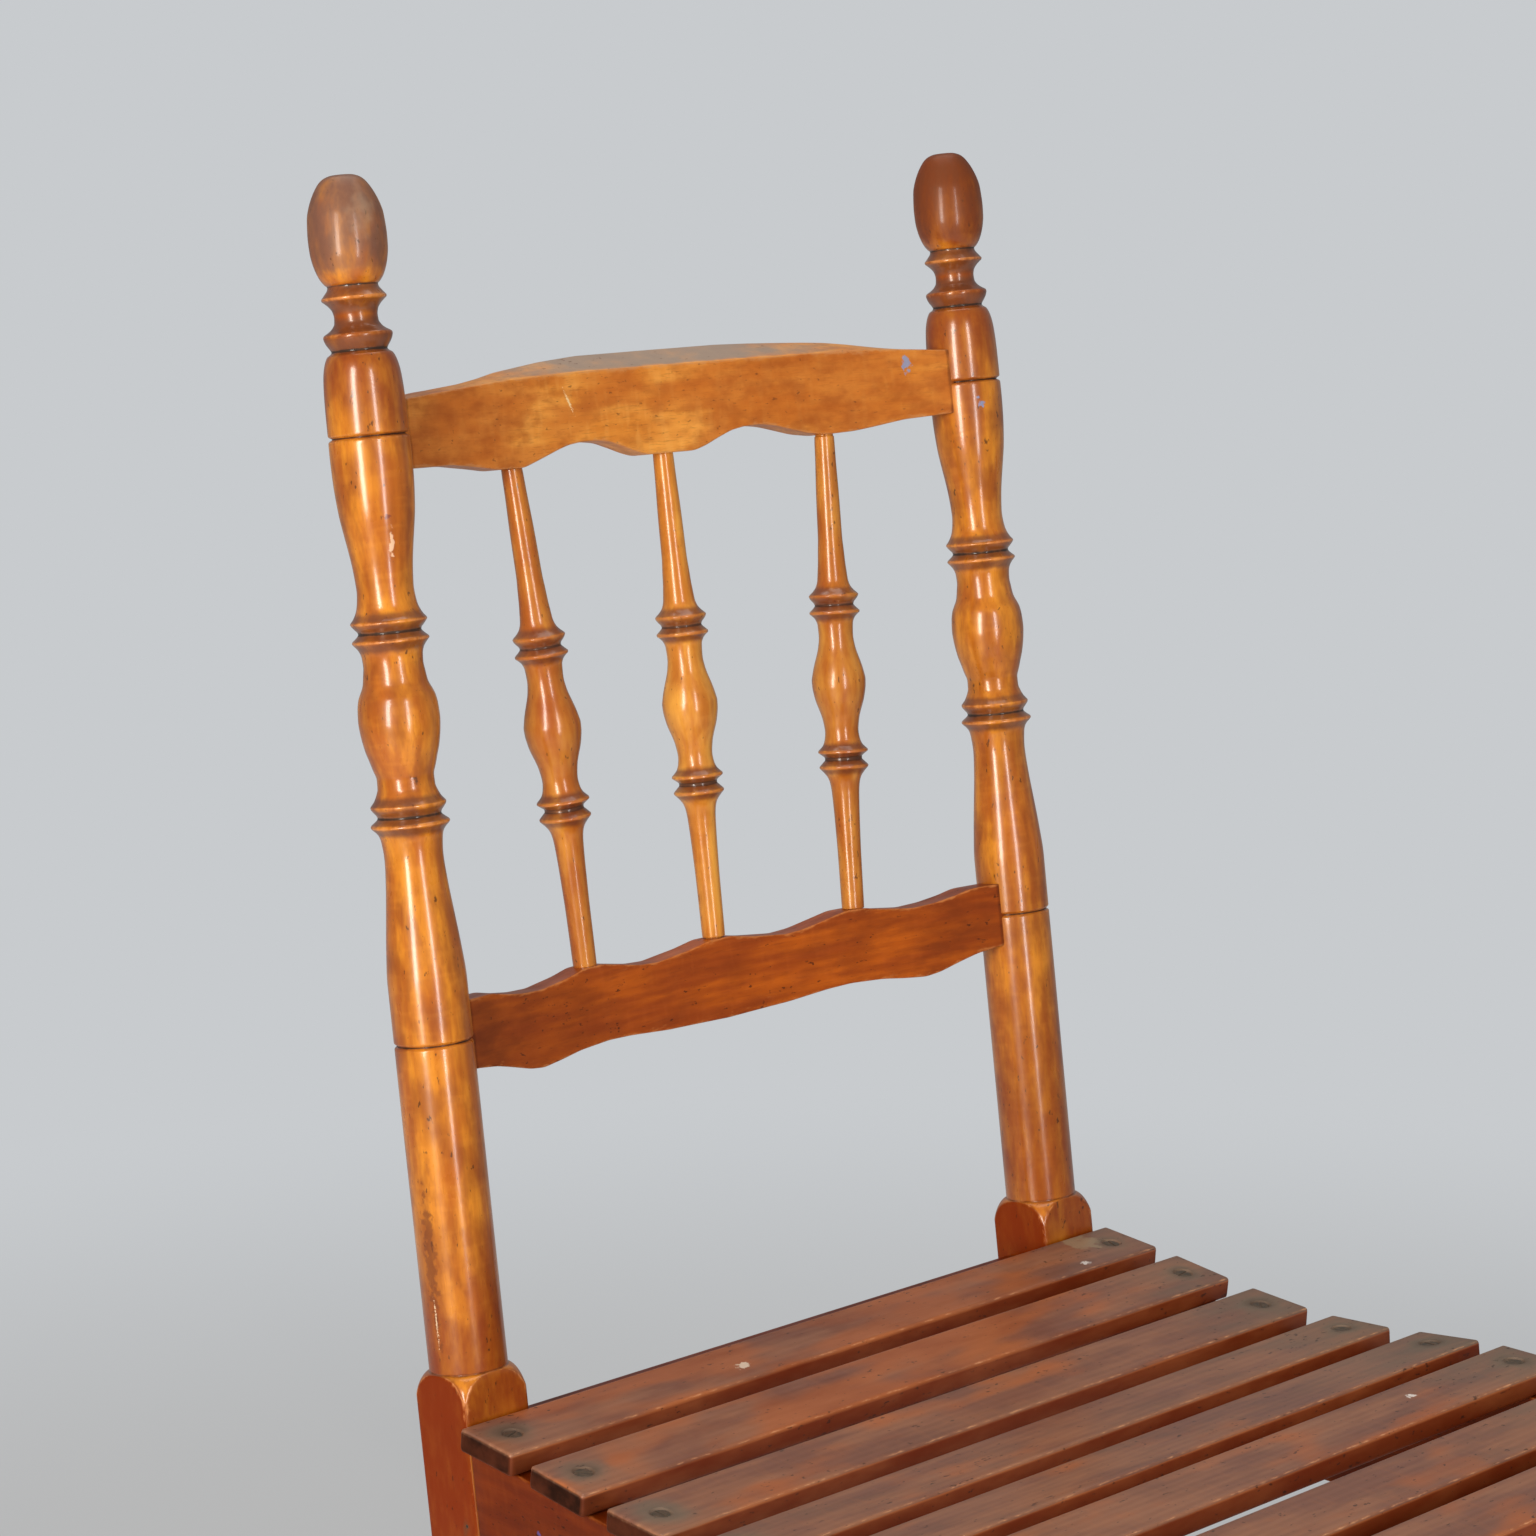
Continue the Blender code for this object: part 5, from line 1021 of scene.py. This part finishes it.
def buildSideRail(side, word):
    # A board with its top cut to the slats' undersides, and a tenon into the post and one into the leg
    gap, bottom, slope = seatRail["gap"] * mm, seatRail["bottomZ"] * mm, np.tan(chair["rake"])
    halfTenon, reach = seatRail["tenonThickness"] * mm / 2, seatRail["tenonLength"] * mm
    shoulder = seatRail["tenonShoulder"] * mm
    legY = frontLeg["middleY"] + chair["halfSquare"]
    rearY = shoulderY + (bottom - chair["shoulderZ"]) * slope - chair["halfSquare"] / cosRake - gap
    inner, outer = sorted((side * (outerX - seatRail["thickness"] * mm), side * outerX))
    shells = [boardShell(
        (inner, legY + gap, bottom), (outer, rearY, bottom), 1, seatRail["arris"] * mm,
        (0.9, 0.4 + 0.2 * side, 0.1), 0.0, 40, (1, 3, 1, 3), slope, undersides)]
    middle, tenonTop = side * (outerX - seatRail["thickness"] / 2 * mm), bottom + seatRail["tenonTop"] * mm
    for start, end, shift in ((rearY - shoulder, rearY + reach, 0.6), (legY - reach, legY + shoulder, 0.9)):
        shells.append(boardShell(
            (middle - halfTenon, start, bottom + shoulder), (middle + halfTenon, end, tenonTop), 1,
            seatRail["tenonArris"] * mm, (1.3, 0.4, shift), 0.0, 4))
    closedSkin(f"{word}_seat_rail", shells, f"side_seat_rail_{word}", "rail_wood", oxbloodRails)


def buildCrossRail(name, node, grainAt):
    # Front and rear seat rails: straight boards with a tenon at each end, turned to the rake at the rear
    half, reach = innerX - seatRail["gap"] * mm, seatRail["crossTenon"] * mm
    shoulder = seatRail["tenonShoulder"] * mm
    halfThick, halfTenon = seatRail["crossThickness"] / 2 * mm, seatRail["tenonThickness"] / 2 * mm
    leans = node == "rear_seat_rail"
    top = seatRail["rearTop"] * mm if leans else boxOf(node)[1, 2]
    bottom = top - seatRail["crossHeight"] * mm
    shells = [boardShell(
        (-half, -halfThick, bottom), (half, halfThick, top), 0, seatRail["arris"] * mm, grainAt, 0.1)]
    for end in (-1, 1):
        a, b = sorted((end * (half - shoulder), end * (innerX + reach)))
        shells.append(boardShell(
            (a, -halfTenon, bottom + shoulder), (b, halfTenon, top - shoulder), 0,
            seatRail["tenonArris"] * mm, grainAt, 0.1, 4))
    shells = [(leaning(*np.moveaxis(points, -1, 0)) if leans else points + (0, frontLeg["middleY"], 0), *rest)
              for points, *rest in shells]
    closedSkin(name, shells, node, "rail_wood", oxbloodRails)


for side, word in sides:
    buildSideRail(side, word)
buildCrossRail("rear_cross_rail", "rear_seat_rail", (1.9, 0.2, 0.3))
buildCrossRail("front_cross_rail", "front_seat_rail", (2.3, 0.2, 0.3))

# Nails: radii by the distance from the head's top, and by the distance from the point's end
pin = {
    "rings": 40, "around": 24, "head": ((0, 0), (0, 1.1), (0.3, 1.45), (1.0, 1.5)),
    "tail": ((0.7, 1.5), (0.25, 1.35), (0.02, 0.8), (0, 0)),
}
for side, word in sides:
    for place in ("rear", "front"):
        start, end = nodeEnds(f"rail_pin_{place}_{word}", 0)[::side]
        length = np.linalg.norm(end - start) / mm
        points = (*pin["head"], *((length - back, radius) for back, radius in pin["tail"]))
        line = turnedLine(points, pin["rings"], noWax)
        turnedBetween(f"{word}_{place}_pin", f"rail_pin_{place}_{word}", ("screw_iron", blackIron),
                      start, end, line, pin["around"], (0.01 * side, 0.02, 0.03))
print("seat made")

# Stage, camera and light
stage = {
    "radius": 40.0,
    "floor": "#CFCDCA",
    "air": "#C8CBCE",
    "plainShare": 0.35,  # how much of the floor's look near the chair is plain pale colour
    "plainFrom": 0.8,  # from here outwards it becomes plain altogether, so that no edge shows
    "plainTo": 2.1,
    "light": "#F2F3F5",
    "ambient": 0.20,
    "glossShare": 0.22,  # how much of the pale surroundings shows in gloss, so that the varnish stays deep
}


def seenRay(tree):
    # How far a ray sees the plain pale background: wholly from the camera and through glass, and partly in
    # gloss
    ray = addNode(tree, "LightPath").node.outputs
    gloss = addNode(tree, "Math", {0: ray["Is Glossy Ray"], 1: stage["glossShare"]}, operation="MULTIPLY")
    clear = addNode(
        tree, "Math", {0: ray["Is Camera Ray"], 1: ray["Is Transmission Ray"]}, operation="MAXIMUM")
    return addNode(tree, "Math", {0: clear, 1: gloss}, operation="MAXIMUM")


def paleFloor():
    # Matt painted board. To the camera and in reflections it is partly plain pale colour, so that the
    # ground stays even and keeps the chair's shadow
    angle = np.linspace(0, 2 * np.pi, 97)[:-1]
    points = stacked(np.cos(angle), np.sin(angle), 0) * stage["radius"]
    mesh = bpy.data.meshes.new("floor")
    mesh.from_pydata(points, [], [tuple(range(len(points)))])
    made = bpy.data.materials.new("matt pale board")
    tree = emptyTree(made)
    matt = addNode(tree, "BsdfDiffuse", {"Color": linear(stage["floor"])})
    plain = addNode(tree, "Emission", {"Color": linear(stage["air"]), "Strength": 1.0})
    place = addNode(tree, "TexCoord", None, "Object")
    away = addNode(tree, "VectorMath", {0: place}, "Value", operation="LENGTH")
    even = addNode(tree, "MapRange", {
        0: away, 1: stage["plainFrom"], 2: stage["plainTo"], 3: stage["plainShare"], 4: 1.0,
    }, interpolation_type="SMOOTHSTEP")
    share = addNode(tree, "Math", {0: seenRay(tree), 1: even}, operation="MULTIPLY")
    addNode(tree, "OutputMaterial", {0: addNode(tree, "MixShader", {0: share, 1: matt, 2: plain})})
    mesh.materials.append(made)
    addObject("floor", mesh)


def paleAir():
    # Even light from all round, and the same pale colour behind the chair as the floor's
    world = bpy.data.worlds.new("pale air")
    bpy.context.scene.world = world
    tree = emptyTree(world)
    soft = addNode(tree, "Background", {"Color": linear(stage["light"]), "Strength": stage["ambient"]})
    seen = addNode(tree, "Background", {"Color": linear(stage["air"]), "Strength": 1.0})
    addNode(tree, "OutputWorld", {0: addNode(tree, "MixShader", {0: seenRay(tree), 1: soft, 2: seen})})


def placeAt(made, place, target, roll=0.0):
    # Turns an object so that it looks from its place at a target, rolled clockwise
    away = (place - target) / np.linalg.norm(place - target)
    right = np.cross((0, 0, 1), away)
    right /= np.linalg.norm(right)
    upright = np.cross(away, right)
    turn = np.eye(4)
    turn[:3, 0] = right * np.cos(roll) - upright * np.sin(roll)
    turn[:3, 1] = right * np.sin(roll) + upright * np.cos(roll)
    turn[:3, 2], turn[:3, 3] = away, place
    made.matrix_world = Matrix(turn)


lamps = {
    "leftWindow": {"place": (-2.45, -0.75, 1.25), "size": (0.48, 1.7), "power": 66, "colour": "#FFFBF6"},
    "rightWindow": {"place": (-0.62, -2.20, 1.25), "size": (0.26, 1.7), "power": 30, "colour": "#FBFCFF"},
    "overhead": {"place": (0.3, 0.6, 2.9), "size": (1.8, 1.8), "power": 24, "colour": "#FFFFFF"},
}
lampTarget = np.array((0.0, 0.1, 0.65))
for key, look in lamps.items():
    light = bpy.data.lights.new(key, "AREA")
    light.shape = "RECTANGLE"
    light.size, light.size_y = look["size"]
    light.energy = look["power"]
    light.color = linear(look["colour"])[:3]
    placeAt(addObject(key, light), np.array(look["place"]), lampTarget)

camera = {
    "place": np.array((-1.2313, -1.1560, 1.0568)), "yaw": 42.97, "pitch": -10.89, "roll": 0.2,
    "lens": 90.42, "sensor": 36.0,
}
yaw, pitch, roll = (np.radians(camera[key]) for key in ("yaw", "pitch", "roll"))
view = np.array([np.sin(yaw) * np.cos(pitch), np.cos(yaw) * np.cos(pitch), np.sin(pitch)])
eye = bpy.data.cameras.new("photo view")
eye.lens = camera["lens"]
eye.sensor_width = camera["sensor"]
eye.clip_start = 0.05
bpy.context.scene.camera = addObject("photo view", eye)
placeAt(bpy.context.scene.camera, camera["place"], camera["place"] + view, roll)
bpy.context.scene.view_settings.view_transform = "Standard"
paleFloor()
paleAir()
print("stage, camera and light set")
